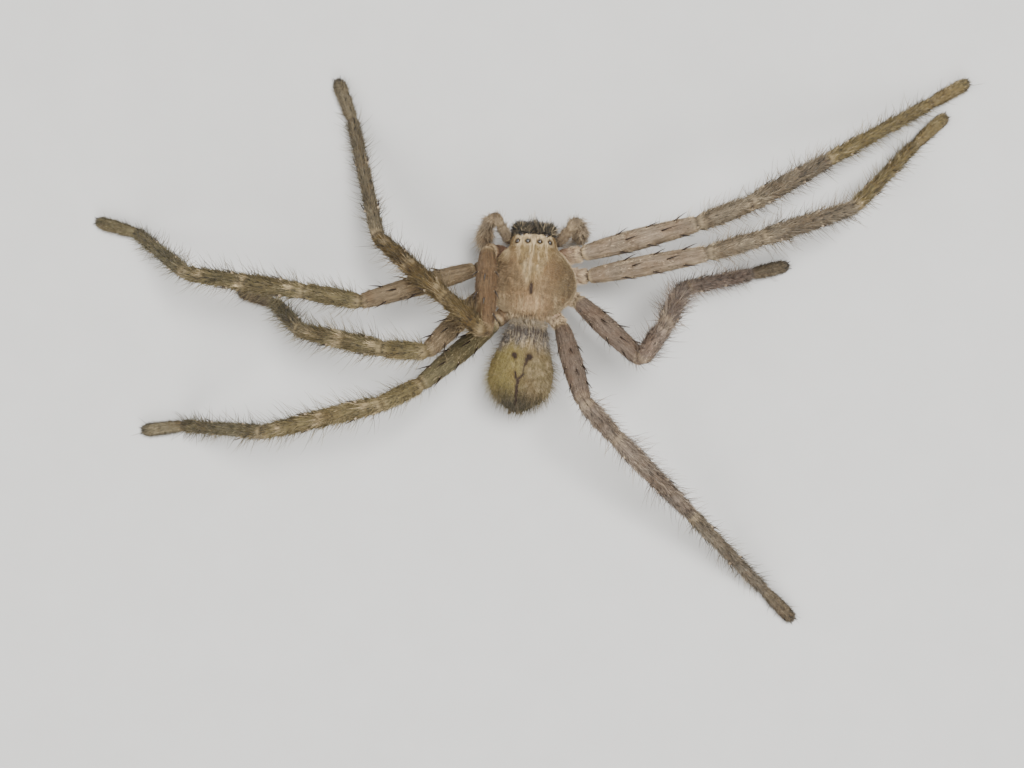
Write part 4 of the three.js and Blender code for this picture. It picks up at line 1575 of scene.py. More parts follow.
@dataclass
class Underside:
    """The breastplate, its lip, the soft flank over the hips, the waist and the spinnerets."""

    front: float = 3.3
    back: float = -3.6
    half: float = 2.3
    bottom: float = 2.7
    waist: tuple[Point, Point] = ((0.0, -3.6, 5.0), (0.0, -6.1, 5.0))
    mouth: tuple[Point, Point] = ((1.75, 3.55, 3.6), (1.1, 4.3, 2.55))
    brown: Colour = srgb(104, 80, 58)
    plate: Colour = srgb(112, 88, 62)
    membrane: Colour = srgb(140, 112, 92)

    def breastplate(self) -> Sleeve:
        """Shapes the plate between the hips.

        Returns:
            The plate, from its front to its point.
        """
        rings, sides = 34, 48
        share = -np.cos(np.linspace(0.02, math.pi - 0.02, rings))
        half = self.half * np.maximum(0.12, np.sqrt(1 - share**2) ** 0.7)
        y = self.front - (self.front - self.back) * (share + 1) / 2
        under = (3.7 - self.bottom) * (1 - 0.5 * np.abs(share) ** 3)
        across, rise = oval_ring(sides, 0.62)
        x = half[:, None] * across[None]
        z = 3.7 + np.where(rise > 0, 0.9 * rise, under[:, None] * rise)
        sleeve = Sleeve.bare("breastplate", rings_of(x, y, z), self.plate)
        edge = bell(np.abs(x) - half[:, None] * 0.9, 0.18)
        sleeve.mark = 0.4 * edge * (sleeve.upper < 0.1)
        sleeve.pale = 0.2 * bell(x, 0.5) * (sleeve.upper < 0)
        return sleeve

    def flank(self) -> Sleeve:
        """Shapes the soft, folded skin that closes the sides between the shield and the breastplate, with
        painted shade in the folds' troughs.

        Returns:
            The skin, from back to front.
        """
        rings, sides = 40, 56
        t = np.linspace(-1, 1, rings)
        y = 0.1 + 4.45 * t
        half = 4.1 * np.sqrt(np.maximum(1 - np.abs(t) ** 2.6, 0.02)) * (1 - 0.32 * ease(t, 0.1, 0.9))
        across, rise = oval_ring(sides, 0.8)
        x = half[:, None] * across[None]
        z = 4.5 + np.where(rise > 0, 0.62, 1.0) * rise[None] * np.minimum(1, half / 2)[:, None]
        sleeve = Sleeve.bare("flank", rings_of(x, y, z), self.membrane)
        fold = np.sin(sleeve.points[..., 1] * 6.0 + sleeve.points[..., 2] * 9.0)
        sleeve.push(0.03 * fold)
        # painted shade: the troughs of the folds are marked darker
        sleeve.mark = 0.2 * (fold < -0.5)
        sleeve.cover[:] = 0.5
        return sleeve

    def lip(self) -> Sleeve:
        """Shapes the small plate at the breastplate's front.

        Returns:
            The plate.
        """
        rings, sides = 18, 24
        t = np.linspace(0.03, math.pi - 0.03, rings)
        across, rise = oval_ring(sides, 0.9)
        x = 0.72 * np.sin(t)[:, None] * across[None]
        z = 3.45 + 0.52 * np.sin(t)[:, None] * rise[None]
        y = 3.5 - 0.86 * np.cos(t)
        sleeve = Sleeve.bare("lip", rings_of(x, y, z), self.brown)
        sleeve.pale = 0.4 * ease(sleeve.points[..., 1], 3.9, 4.3)
        return sleeve


@dataclass(frozen=True)
class Bone:
    """One straight length of a limb."""

    start: np.ndarray
    end: np.ndarray
    profile: Profile
    girth: float
    inset: float
    tone: Colour

    @property
    def length(self) -> float:
        """Its length."""
        return float(np.linalg.norm(self.end - self.start))

    @property
    def way(self) -> np.ndarray:
        """Its direction."""
        return unit(self.end - self.start)

    def radius(self, share: np.ndarray) -> np.ndarray:
        """Returns the skin's radius at shares of the length."""
        table = np.array(self.profile)
        return smooth_curve(table[:, 0], table[:, 1], share) * self.girth - self.inset


@dataclass(frozen=True)
class Crease:
    """A soft joint between two lengths of a limb: how deep, how wide, and the light rim after it."""

    depth: float
    width: float
    dark: float
    rim: float


@dataclass
class Limb:
    """A jointed limb as one sleeve, swept through its lengths with rounded bends."""

    name: str
    bones: list[Bone]
    creases: Sequence[Crease] = ()
    sides: int = 20
    spacing: float = 0.3
    bend: float = 0.75
    clearance: float = 0.005
    starts: list[float] = field(default_factory=list)

    def frames(self) -> tuple[np.ndarray, ...]:
        """Works out the stations along the limb.

        Returns:
            Distances, middles, ways, radii, and the number of each station's length.
        """
        total, parts = 0.0, []
        self.starts = []
        for i, bone in enumerate(self.bones):
            self.starts.append(total)
            count = max(4, round(bone.length / self.spacing))
            share = np.linspace(0, 1, count, endpoint=bone is self.bones[-1])[:, None]
            ones = np.ones_like(share)
            middle = bone.start + (bone.end - bone.start) * share
            place = total + share * bone.length
            parts.append((place, middle, bone.way * ones, bone.radius(share), i * ones))
            total += bone.length
        at, middles, ways, radii, number = (np.concatenate(column) for column in zip(*parts))
        at, radii, number = at[:, 0], radii[:, 0], number[:, 0].astype(int)
        for i in range(1, len(self.bones)):
            before, after = self.bones[i - 1], self.bones[i]
            reach = self.bend * float(after.radius(np.array(0.0)))
            gap = at - self.starts[i]
            near = np.abs(gap) < reach
            t = ((gap[near] + reach) / (2 * reach))[:, None]
            first, last = after.start - before.way * reach, after.start + after.way * reach
            middles[near] = (1 - t) ** 2 * first + 2 * t * (1 - t) * after.start + t**2 * last
            ways[near] = unit((1 - t) * before.way + t * after.way)
        return at, middles, ways, radii, number

    def sleeve(self) -> Sleeve:
        """Sweeps the limb and lays out its joints.

        Returns:
            The sleeve, from root to tip.
        """
        at, middles, ways, radii, number = self.frames()
        for start, crease in zip(self.starts[1:], self.creases):
            radii = radii - crease.depth * bell(at - start, crease.width)
        out, size = np.sin(np.radians(END_ANGLES)), np.cos(np.radians(END_ANGLES))
        back, fore = radii[0] * out[::-1], radii[-1] * out
        root, tip = middles[0] - back[:, None] * ways[0], middles[-1] + fore[:, None] * ways[-1]
        middles = np.concatenate([root, middles, tip])
        at = np.concatenate([at[0] - back, at, at[-1] + fore])
        radii = np.concatenate([radii[0] * size[::-1], radii, radii[-1] * size])
        more = len(END_ANGLES)
        ways, number = np.pad(ways, ((more, more), (0, 0)), "edge"), np.pad(number, more, "edge")
        across = np.zeros_like(ways)
        across[0] = unit(np.cross(UP, ways[0]))
        for i in range(1, len(ways)):
            turn = Vector(ways[i - 1]).rotation_difference(Vector(ways[i]))
            across[i] = turn @ Vector(across[i - 1])
            across[i] = unit(across[i] - ways[i] * (across[i] @ ways[i]))
        over = np.cross(ways, across)
        angle = (np.arange(self.sides) / self.sides * 2 * math.pi)[None, :, None]
        radial = np.cos(angle) * across[:, None] + np.sin(angle) * over[:, None]
        points = middles[:, None] + radial * radii[:, None, None]
        points[..., 2] = np.maximum(points[..., 2], self.clearance)
        sleeve = Sleeve.bare(self.name, points, self.bones[0].tone)
        top = np.cross(ways, unit(np.cross(UP, ways)))
        sleeve.upper = np.sum(radial * top[:, None], axis=-1)
        sleeve.along = at - at[0]
        tones = np.array([bone.tone for bone in self.bones])
        mixed = tones[number]
        for i in range(1, len(self.bones)):
            near = ease(at - self.starts[i], -0.9, 0.9)
            here = (number == i) | (number == i - 1)
            mixed[here] = tones[i - 1] * (1 - near[here, None]) + tones[i] * near[here, None]
        sleeve.tone = np.broadcast_to(mixed[:, None], sleeve.tone.shape).copy()
        for start, crease in zip(self.starts[1:], self.creases):
            gap = (at - start)[:, None]
            rims = bell(gap - 0.42, 0.24) + 0.6 * bell(gap + 0.36, 0.18)
            sleeve.mark += crease.dark * bell(gap, crease.width * 0.8)
            sleeve.pale += crease.rim * rims * (0.5 + 0.5 * sleeve.upper)
            sleeve.cover *= 1 - 0.9 * bell(gap, crease.width * 0.7)
            sleeve.length *= 1 - 0.4 * bell(gap, 0.5)
        sleeve.mark, sleeve.pale = np.clip(sleeve.mark, 0, 1), np.clip(sleeve.pale, 0, 1)
        bounds = [0] + [int(np.argmax(number == i)) for i in range(1, len(self.bones))] + [len(at) - 1]
        sleeve.rows = [(bounds[i], bounds[i + 1]) for i in range(len(bounds) - 1)]
        return sleeve

    def spot(self, number: int, share: float, degrees: float, side: Side) -> tuple[np.ndarray, ...]:
        """Finds a place on one length of the limb.

        Args:
            number: Which length.
            share: How far along it.
            degrees: The angle from the top towards the head side.
            side: The half of the body that the limb is on.

        Returns:
            The point on the skin, its outward direction, and the way along the limb.
        """
        bone = self.bones[number]
        across = unit(np.cross(UP, bone.way))
        over = np.cross(bone.way, across)
        angle = math.radians(degrees * side.sign)
        out = over * math.cos(angle) + across * math.sin(angle)
        middle = bone.start + (bone.end - bone.start) * share
        return middle + out * float(bone.radius(np.array(share))), out, bone.way


# Legs.


@dataclass(frozen=True)
class Stance:
    """How one leg stands: heading and pitch of each length, and its colours from hip to toe."""

    side: Side
    pair: int
    femur: tuple[float, float]
    patella: tuple[float, float]
    tibia: tuple[float, float]
    metatarsus: float
    tarsus: float
    tones: tuple[Colour, Colour, Colour, Colour, Colour, Colour]


@dataclass
class Leg:
    """One walking leg."""

    stance: Stance
    hips: dict[int, tuple[Point, Point]] = field(
        default_factory=lambda: {
            1: ((2.6, 2.6, 3.85), (5.75, 3.3, 4.8)),
            2: ((3.0, 0.75, 3.85), (6.65, 0.7, 4.8)),
            3: ((2.9, -1.25, 3.85), (5.5, -2.2, 4.8)),
            4: ((2.0, -3.3, 3.85), (3.85, -5.25, 4.8)),
        }
    )
    lengths: dict[int, tuple[float, ...]] = field(
        default_factory=lambda: {
            1: (14.0, 6.0, 13.2, 16.6, 4.6, 1.02),
            2: (14.8, 6.1, 13.8, 14.2, 4.5, 0.98),
            3: (12.0, 4.8, 10.2, 10.6, 3.9, 1.0),
            4: (12.4, 5.1, 13.7, 15.8, 4.4, 1.0),
        }
    )
    profiles: dict[str, Profile] = field(
        default_factory=lambda: {
            "coxa": ((0, 0.72), (0.35, 1.08), (0.6, 1.08), (0.7, 0.95), (0.82, 1.08), (1, 1.02)),
            "femur": ((0, 1.0), (0.15, 1.18), (0.45, 1.34), (0.8, 1.2), (1, 1.0)),
            "patella": ((0, 1.0), (0.5, 1.06), (1, 0.96)),
            "tibia": ((0, 0.96), (0.25, 1.04), (0.75, 0.96), (1, 0.86)),
            "metatarsus": ((0, 0.86), (0.2, 0.84), (0.75, 0.74), (1, 0.68)),
            "tarsus": ((0, 0.68), (0.45, 0.78), (0.85, 0.8), (1, 0.76)),
        }
    )
    raised: Point = (0.55, -0.6, 1.8)
    heel_height: float = 0.8
    toe_height: float = 0.55
    insets: tuple[float, ...] = (0.14, 0.15, 0.13, 0.13, 0.11, 0.1)
    creases: tuple[Crease, ...] = (
        Crease(0.34, 0.17, 0.85, 0.8),
        Crease(0.2, 0.2, 0.32, 0.3),
        Crease(0.1, 0.14, 0.5, 0.3),
        Crease(0.1, 0.16, 0.4, 0.4),
        Crease(0.06, 0.13, 0.35, 0.1),
    )
    stretches: tuple[float, ...] = (0.8, 0.7, 1.0, 1.15, 1.0, 0.7)
    shin_spots: tuple[tuple[float, float], ...] = ((0.12, 16), (0.5, 32), (0.52, -32), (0.86, 10))
    spot_tone: Colour = srgb(186, 166, 126)
    inner_tone: Colour = srgb(122, 96, 79)
    fur: Hair = Hair(0.6, 0.054, 13, 3, swing=9, splay=7, droop=0.0, unlike=0.35)
    down: Hair = Hair(0.8, 0.058, 28, 2, 2, swing=10, droop=0.5)
    bristle: Hair = Hair(1.95, 0.06, 62, 1, 3, swing=14, ruffle=9, droop=0.25, tint=-0.3)
    guard: Hair = Hair(1.35, 0.055, 50, 1, 2, swing=16, ruffle=10, droop=0.3, tint=-1.3)
    dark_lock: Hair = Hair(
        0.75, 0.07, 15, 3, 2, swing=6, splay=2, ruffle=2, droop=0.2, tint=-3.6, unlike=0.1
    )
    pale_lock: Hair = Hair(0.7, 0.06, 15, 3, 2, swing=6, splay=3, ruffle=2, droop=0.2, tint=2.6, unlike=0.1)
    pad_hair: Hair = Hair(0.55, 0.052, 52, 2, swing=20, ruffle=12, tint=-0.2)
    foot_fur: Hair = Hair(0.55, 0.05, 34, 3, swing=18, tint=-0.2)
    foot_bristle: Hair = Hair(0.95, 0.05, 52, 1, 2, swing=18, ruffle=12, droop=0.3, tint=-1.2)
    toe_tuft: Hair = Hair(0.62, 0.055, 40, 3, swing=24, tint=-2.8)

    @property
    def cream(self) -> float:
        """How cream the pale streaks of the coat are."""
        return 0.5 if self.stance.side is Side.RIGHT and self.stance.pair < 3 else 0.26

    @property
    def dashes(self) -> float:
        """How dark the lengthwise dashes of the coat are."""
        return 0.6 if self.stance.side is Side.LEFT and self.stance.pair > 2 else 0.45

    @property
    def grain(self) -> float:
        """How strongly the coat of the femur is streaked."""
        soft = {(Side.LEFT, 1): 0.3, (Side.RIGHT, 3): 0.45, (Side.RIGHT, 4): 0.45}
        return soft.get((self.stance.side, self.stance.pair), 1.0)

    def limb(self) -> Limb:
        """Places the leg's joints.

        Returns:
            Its lengths and joints, from hip to toe.
        """
        stance = self.stance
        inner, outer = self.hips[stance.pair]
        hip, root = stance.side.place(inner), stance.side.place(outer)
        if stance.side is Side.LEFT and stance.pair == 1:
            root = root + np.array(self.raised)
        femur, patella, tibia, metatarsus, tarsus, girth = self.lengths[stance.pair]
        knee = root + heading_pitch(*stance.femur) * femur
        shin = knee + heading_pitch(*stance.patella) * patella
        ankle = shin + heading_pitch(*stance.tibia) * tibia
        fall = math.degrees(math.asin((ankle[2] - self.heel_height) / metatarsus))
        heel = ankle + heading_pitch(stance.metatarsus, -fall) * metatarsus
        flat = math.degrees(math.asin((self.heel_height - self.toe_height) / tarsus))
        toe = heel + heading_pitch(stance.tarsus, -flat) * tarsus
        joints = [hip, root, knee, shin, ankle, heel, toe]
        bones = [
            Bone(joints[i], joints[i + 1], profile, girth, self.insets[i], stance.tones[i])
            for i, profile in enumerate(self.profiles.values())
        ]
        return Limb(f"leg_{stance.side.value}_{stance.pair}", bones, self.creases)

    def dress(self, sleeve: Sleeve, limb: Limb) -> None:
        """Adds the leg's own markings and sets the coat's length.

        Args:
            sleeve: The leg's skin.
            limb: Its lengths.
        """
        at = sleeve.reach
        for start, end, stretch in zip(limb.starts, [*limb.starts[1:], at[-1]], self.stretches):
            sleeve.length[(at >= start) & (at < end)] *= stretch
        groove = limb.starts[0] + 0.7 * limb.bones[0].length
        gap = (at - groove)[:, None]
        sleeve.mark = np.clip(sleeve.mark + 0.7 * bell(gap, 0.16), 0, 1)
        sleeve.cover *= 1 - 0.8 * bell(gap, 0.14)
        ring = ease(gap, 0.15, 0.4) * (at < limb.starts[1] - 0.15)[:, None]
        right = self.stance.side is Side.RIGHT
        bright = 0.5 if right else (0.15 if self.stance.pair in (1, 4) else 0.35)
        sleeve.pale = np.clip(sleeve.pale + bright * ring * (0.4 + 0.6 * sleeve.upper), 0, 1)
        if not right:
            for share, degrees in self.shin_spots:
                spot = limb.spot(3, share, degrees, self.stance.side)[0]
                near = bell(np.linalg.norm(sleeve.points - spot, axis=-1), 0.34)
                sleeve.pale = np.clip(sleeve.pale + 0.7 * near, 0, 1)
                sleeve.tone = blend(sleeve.tone, self.spot_tone, 0.7 * near)
        if right and self.stance.pair in (1, 2):
            across = unit(np.cross(UP, limb.bones[0].way))
            aside = np.abs((sleeve.points - sleeve.points.mean(axis=1, keepdims=True)) @ across)
            wedge = at[:, None] - limb.starts[1] + 0.55 - 0.75 * aside
            top = ease(sleeve.upper, -0.2, 0.2)
            opening = ease(wedge, 0.0, 0.12) * (1 - ease(at - limb.starts[1], -0.02, 0.1))[:, None] * top
            sleeve.mark = np.clip(sleeve.mark + 0.6 * opening, 0, 1)
            sleeve.pale = np.clip(sleeve.pale * (1 - opening) + 0.5 * bell(wedge + 0.1, 0.11) * top, 0, 1)
            sleeve.tone = blend(sleeve.tone, self.inner_tone, (1 - ease(gap, -1.0, 0.0)) * 0.8)
            femur = ((at > limb.starts[1]) & (at < limb.starts[2]))[:, None]
            stripe = bell(sleeve.upper - 0.45, 0.35) * (0.6 + 0.4 * np.sin(at * 2.3))[:, None]
            sleeve.pale = np.clip(sleeve.pale + 0.3 * femur * stripe, 0, 1)

    def grow(self, coat: Coat, sleeve: Sleeve, limb: Limb) -> None:
        """Grows the leg's coat.

        Args:
            coat: The coat.
            sleeve: The leg's skin.
            limb: Its lengths.
        """
        starts, at, upper = limb.starts, sleeve.reach[:, None], sleeve.upper
        end, everywhere = starts[5] + limb.bones[5].length, np.ones_like(upper)
        outside = ease(at, starts[0] + 0.2, starts[0] + 1.2)
        shin = ease(at, starts[2] - 2.0, starts[2] + 0.5) * (1 - ease(at, starts[5] - 1.0, starts[5] + 0.6))
        thigh = ease(at, starts[1], starts[1] + 1.5) * (1 - shin)
        sides = (0.35 + 0.65 * ease(upper, -0.9, -0.3)) * (1 - 0.55 * ease(upper, 0.5, 0.9))
        pad = ease(at, starts[4] + limb.bones[4].length * 0.45, starts[5]) * (1 - ease(upper, -0.2, 0.5))
        toes = ease(at, end - limb.bones[5].length * 0.28, end) * everywhere
        foot = ease(at, starts[5] - 2.0, starts[5]) * everywhere
        for kind, count, weight in (
            (self.fur, 4600, outside * (1 - 0.3 * shin)),
            (self.down, 1300, (shin + 0.16 * thigh) * sides),
            (self.bristle, 400, (shin + 0.12 * thigh) * sides),
            (self.guard, 520, (shin + 0.14 * thigh) * sides),
            (self.dark_lock, 300, shin + 0.45 * thigh),
            (self.pale_lock, 170, shin + 0.5 * thigh),
            (self.pad_hair, 900, pad),
            (self.foot_fur, 520, foot),
            (self.foot_bristle, 150, foot * sides),
            (self.toe_tuft, 190, toes),
        ):
            roots = coat.roots(sleeve, count, weight)
            here = roots.along - sleeve.along[len(END_ANGLES)]
            femur = ease(here, starts[1], starts[1] + 0.8) * (1 - ease(here, starts[2] - 0.6, starts[2]))
            cream = self.cream * (0.35 + 0.65 * femur)
            dash = self.dashes * (0.8 + 0.2 * femur)
            roots.streak = roots.streak * (1 - (1 - self.grain) * femur)
            roots.pale = np.clip(roots.pale + cream * ease(roots.streak, 0.1, 0.7), 0, 1)
            roots.mark = np.clip(roots.mark + dash * ease(-roots.streak, 0.3, 0.75), 0, 1)
            coat.grow(roots, kind)


def leg_stances() -> list[Stance]:
    """Lists the eight legs' stances, with their colours from hip to toe.

    Returns:
        The stances.
    """
    olive, sand, buff, bone, folded = (
        srgb(100, 91, 63), srgb(116, 101, 80), srgb(134, 111, 84), srgb(172, 150, 129), srgb(98, 74, 58),
    )
    rust, umber, ash, gold, moss = (
        srgb(114, 93, 69), srgb(92, 77, 46), srgb(104, 95, 76), srgb(112, 101, 69), srgb(96, 89, 64),
    )
    pink, stone, grey, mauve, plum = (
        srgb(135, 121, 105), srgb(117, 106, 89), srgb(112, 103, 89), srgb(117, 103, 92), srgb(122, 108, 98),
    )
    rose, tip, honey, straw = srgb(124, 111, 99), srgb(92, 82, 66), srgb(114, 101, 67), srgb(112, 103, 80)
    left, right = Side.LEFT, Side.RIGHT
    rows = (
        (left, 1, (-87, 46), (142, -26), (141, -31), 108, 114, (folded, rust, umber, umber, ash, ash)),
        (left, 2, (-157, 29), (173, 0), (174.5, -7), 150, 167, (buff, sand, olive, olive, moss, moss)),
        (left, 3, (-127, 41.5), (180, -10), (171, -14), 146, 164, (buff, sand, gold, olive, moss, tip)),
        (left, 4, (-135, 28), (-149, 28), (-163, -8), -178, -170, (buff, moss, gold, gold, moss, straw)),
        (right, 1, (15, 27), (24, 0), (34, -26), 33, 33, (bone, pink, stone, stone, honey, honey)),
        (right, 2, (11, 34), (20, -7), (23, -22), 46, 46, (bone, pink, stone, stone, honey, honey)),
        (right, 3, (-43.5, 37), (62, 30), (58.5, -55), 17, 17, (bone, mauve, plum, plum, plum, tip)),
        (right, 4, (-74, 45), (-44, -12), (-41.5, -20), -41.5, -42.5, (bone, mauve, rose, rose, grey, tip)),
    )
    return [Stance(*row) for row in rows]


@dataclass
class Palp:
    """One feeler-like palp beside the jaws."""

    side: Side
    headings: tuple[tuple[float, float], ...]
    root: Point = (2.85, 4.35, 4.45)
    lengths: tuple[float, ...] = (2.6, 1.3, 2.0, 2.6)
    profiles: tuple[Profile, ...] = (
        ((0, 0.62), (0.4, 0.76), (1, 0.72)),
        ((0, 0.72), (0.5, 0.78), (1, 0.72)),
        ((0, 0.72), (0.5, 0.78), (1, 0.74)),
        ((0, 0.74), (0.4, 0.86), (0.8, 0.72), (1, 0.48)),
    )
    creases: tuple[Crease, ...] = (
        Crease(0.08, 0.12, 0.4, 0.4),
        Crease(0.08, 0.14, 0.5, 0.3),
        Crease(0.06, 0.12, 0.4, 0.2),
    )
    tan: Colour = srgb(122, 108, 90)

    def limb(self) -> Limb:
        """Places the palp's joints.

        Returns:
            Its lengths and joints, from root to tip.
        """
        joint = self.side.place(self.root)
        bones = []
        for way, length, profile in zip(self.headings, self.lengths, self.profiles):
            end = joint + heading_pitch(*way) * length
            bones.append(Bone(joint, end, profile, 1.0, 0.19, self.tan))
            joint = end
        return Limb(f"palp_{self.side.value}", bones, self.creases, sides=18, spacing=0.22)


# Hard parts: spines, claws, jaws and fangs.


def thorn(
    bm: bmesh.types.BMesh,
    root: np.ndarray,
    way: np.ndarray,
    bend: np.ndarray,
    length: float,
    base: float,
    sides: int = 6,
    steps: int = 4,
    tip: float = 0.12,
) -> None:
    """Adds a curved, tapering thorn by extruding a small ring along its way.

    Args:
        bm: The mesh that takes it.
        root: Its root.
        way: The direction it starts in.
        bend: What is added to its direction by the tip.
        length: Its length.
        base: Its radius at the root.
        sides: Faces round it.
        steps: Steps along it.
        tip: Share of the base radius left at the tip.
    """
    at, radius = np.array(root, float), base
    faces: list[bmesh.types.BMFace] = []

    def stand(point: np.ndarray, aim: np.ndarray, size: float) -> Matrix:
        """Returns the matrix of a ring at the point."""
        turn = Vector(aim).to_track_quat("Z", "Y").to_matrix().to_4x4()
        return Matrix.Translation(Vector(BENCH.metres(point))) @ turn @ Matrix.Scale(size * MM, 4)

    aim = unit(np.asarray(way))
    here = stand(at, aim, radius)
    ring = bmesh.ops.create_circle(bm, cap_ends=True, segments=sides, radius=1, matrix=here)["verts"]
    faces += dict.fromkeys(face for vert in ring for face in vert.link_faces)
    edges = list(dict.fromkeys(edge for vert in ring for edge in vert.link_edges))
    for step in range(1, steps + 1):
        share = step / steps
        aim = unit(np.asarray(way) + np.asarray(bend) * share)
        at = at + aim * length / steps
        radius = base * (1 - (1 - tip) * share**1.3)
        grown = bmesh.ops.extrude_edge_only(bm, edges=edges)["geom"]
        ring = [g for g in grown if isinstance(g, bmesh.types.BMVert)]
        faces += [g for g in grown if isinstance(g, bmesh.types.BMFace)]
        inside = set(ring)
        edges = [g for g in grown if isinstance(g, bmesh.types.BMEdge) and set(g.verts) <= inside]
        there = stand(at, aim, radius)
        bmesh.ops.transform(bm, matrix=there @ here.inverted(), verts=ring)
        here = there
    faces += bmesh.ops.contextual_create(bm, geom=edges)["faces"]
    bmesh.ops.recalc_face_normals(bm, faces=faces)


@dataclass
class Spines:
    """The stiff dark spines of the legs, each in a pale socket."""

    table: dict[int, tuple[tuple[tuple[float, ...], tuple[float, ...]], ...]] = field(
        default_factory=lambda: {
            1: (((0.42, 0.72), (6,)), ((0.34, 0.6, 0.84), (52, -52))),
            3: (((0.2, 0.62), (68, -68)), ((0.36, 0.8), (145, -145))),
            4: (((0.22, 0.6), (75, -75)), ((0.4,), (140, -140))),
        }
    )
    length: float = 1.55
    base: float = 0.105

    def build(self, limbs: list[tuple[Side, Limb]], finishes: Finishes, rng: np.random.Generator) -> None:
        """Makes all the spines as one piece, and their sockets as another.

        Args:
            limbs: The legs, with the half of the body that each is on.
            finishes: The materials.
            rng: Source of the seeded draws.
        """
        places = [
            (number, share, degrees)
            for number, rows in self.table.items()
            for shares, turns in rows
            for degrees in turns
            for share in shares
        ]
        all_horn, all_cups = bmesh.new(), bmesh.new()
        for side, limb in limbs:
            horn, cups = bmesh.new(), bmesh.new()
            for number, share, degrees in places:
                point, out, way = limb.spot(number, share + rng.normal(0, 0.012), degrees, side)
                lean = math.radians(rng.normal(30 if number == 1 else 22, 4))
                aim = out * math.sin(lean) + way * math.cos(lean)
                length = self.length * rng.uniform(0.85, 1.12) * (1.25 if number == 1 else 0.95)
                thorn(horn, point + out * 0.02, aim, way * 0.4 - out * 0.15, length, self.base)
                cup = 0.12 if number == 1 else 0.165
                aim = out * 0.7 + way * 0.5
                thorn(cups, point - out * 0.1, aim, way * 0.1, cup * 2, cup, sides=8, steps=2, tip=0.7)
            join_into(all_horn, horn)
            join_into(all_cups, cups)
        link(finished_mesh(all_horn, "spines"), finishes.spine)
        link(finished_mesh(all_cups, "spine_sockets"), finishes.socket)


@dataclass
class Claws:
    """Two small claws at the end of each foot."""

    length: float = 1.1
    base: float = 0.1

    def build(self, limbs: list[tuple[Side, Limb]], material: bpy.types.Material) -> None:
        """Makes all the claws as one piece.

        Args:
            limbs: The legs.
            material: Their finish.
        """
        bm = bmesh.new()
        for _, limb in limbs:
            toe = limb.bones[-1]
            across = unit(np.cross(UP, toe.way))
            for sense in (-1, 1):
                root = toe.end + toe.way * 0.35 + across * 0.2 * sense + UP * 0.12
                aim = toe.way + across * 0.28 * sense + UP * 0.2
                thorn(bm, root, aim, UP * -0.9, self.length, self.base)
        link(finished_mesh(bm, "claws"), material)


@dataclass
class Jaws:
    """The two jaws that hang from the face, each with a folded fang.

    crown is the height where they meet the face. bristles pairs each kind with its count and its paleness.
    """

    top: Point = (1.25, 4.9, 5.85)
    tip: Point = (1.2, 5.55, 3.1)
    profile: Profile = ((0, 0.85), (0.25, 1.12), (0.6, 1.14), (1, 0.77))
    squareness: float = 6.0
    crown: float = 5.9
    fang: tuple[Point, ...] = ((1.5, 5.5, 2.45), (1.2, 5.2, 1.35), (0.42, 4.75, 1.7))
    fang_base: float = 0.33
    dark: Colour = srgb(50, 47, 40)
    bristles: tuple[tuple[Hair, int, float], ...] = (
        (Hair(0.42, 0.06, 40, 3, swing=40, splay=24, streak=0.4, tint=-1.0), 1900, 0.0),
        (Hair(0.7, 0.075, 60, 2, swing=50, splay=6, ruffle=8, streak=0.4, tint=-1.3), 500, 0.0),
        (Hair(0.66, 0.06, 54, 2, swing=60, splay=30, ruffle=12, streak=0.2, unlike=0.3), 320, 0.32),
        (Hair(0.5, 0.07, 48, 2, swing=50, splay=4, ruffle=5, streak=0.2, tint=1.6, unlike=0.1), 400, 0.0),
        (Hair(1.5, 0.05, 66, 1, 3, swing=24, ruffle=12, tint=0.4), 60, 0.7),
    )

    def sleeve(self, side: Side) -> Sleeve:
        """Shapes one jaw, square in section below the face.

        Args:
            side: The half of the body that it is on.

        Returns:
            The jaw's skin.
        """
        bone = Bone(side.place(self.top), side.place(self.tip), self.profile, 1.0, 0.08, self.dark)
        sleeve = Limb(f"jaw_{side.value}", [bone], sides=32, spacing=0.14).sleeve()
        points, power = sleeve.points, self.squareness
        offset = points - points.mean(axis=1, keepdims=True)
        flat = offset[..., :2]
        share = np.abs(flat) / np.maximum(np.linalg.norm(flat, axis=-1, keepdims=True), 1e-6)
        square = 1 - ease(points[..., 2:], 5.3, self.crown)
        points += offset * (np.sum(share**power, axis=-1, keepdims=True) ** (-1 / power) - 1) * square
        points[..., 2] = np.minimum(points[..., 2], self.crown)
        points[..., 0] = side.sign * np.maximum(points[..., 0] * side.sign, 0.05)
        return sleeve

    def build_fangs(self, material: bpy.types.Material) -> None:
        """Makes each fang as a piece of its own.

        Args:
            material: Their finish.
        """
        for side in Side:
            root, bend, tip = (side.place(point) for point in self.fang)
            bm = bmesh.new()
            length = float(np.linalg.norm(bend - root) + np.linalg.norm(tip - bend)) * 0.92
            thorn(bm, root, unit(bend - root), unit(tip - bend) * 2.6, length, self.fang_base, 20, 14, 0.14)
            piece = link(finished_mesh(bm, f"fang_blade_{side.value}"), material)
            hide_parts(f"fang_{side.value}")


# The whole spider and its studio.


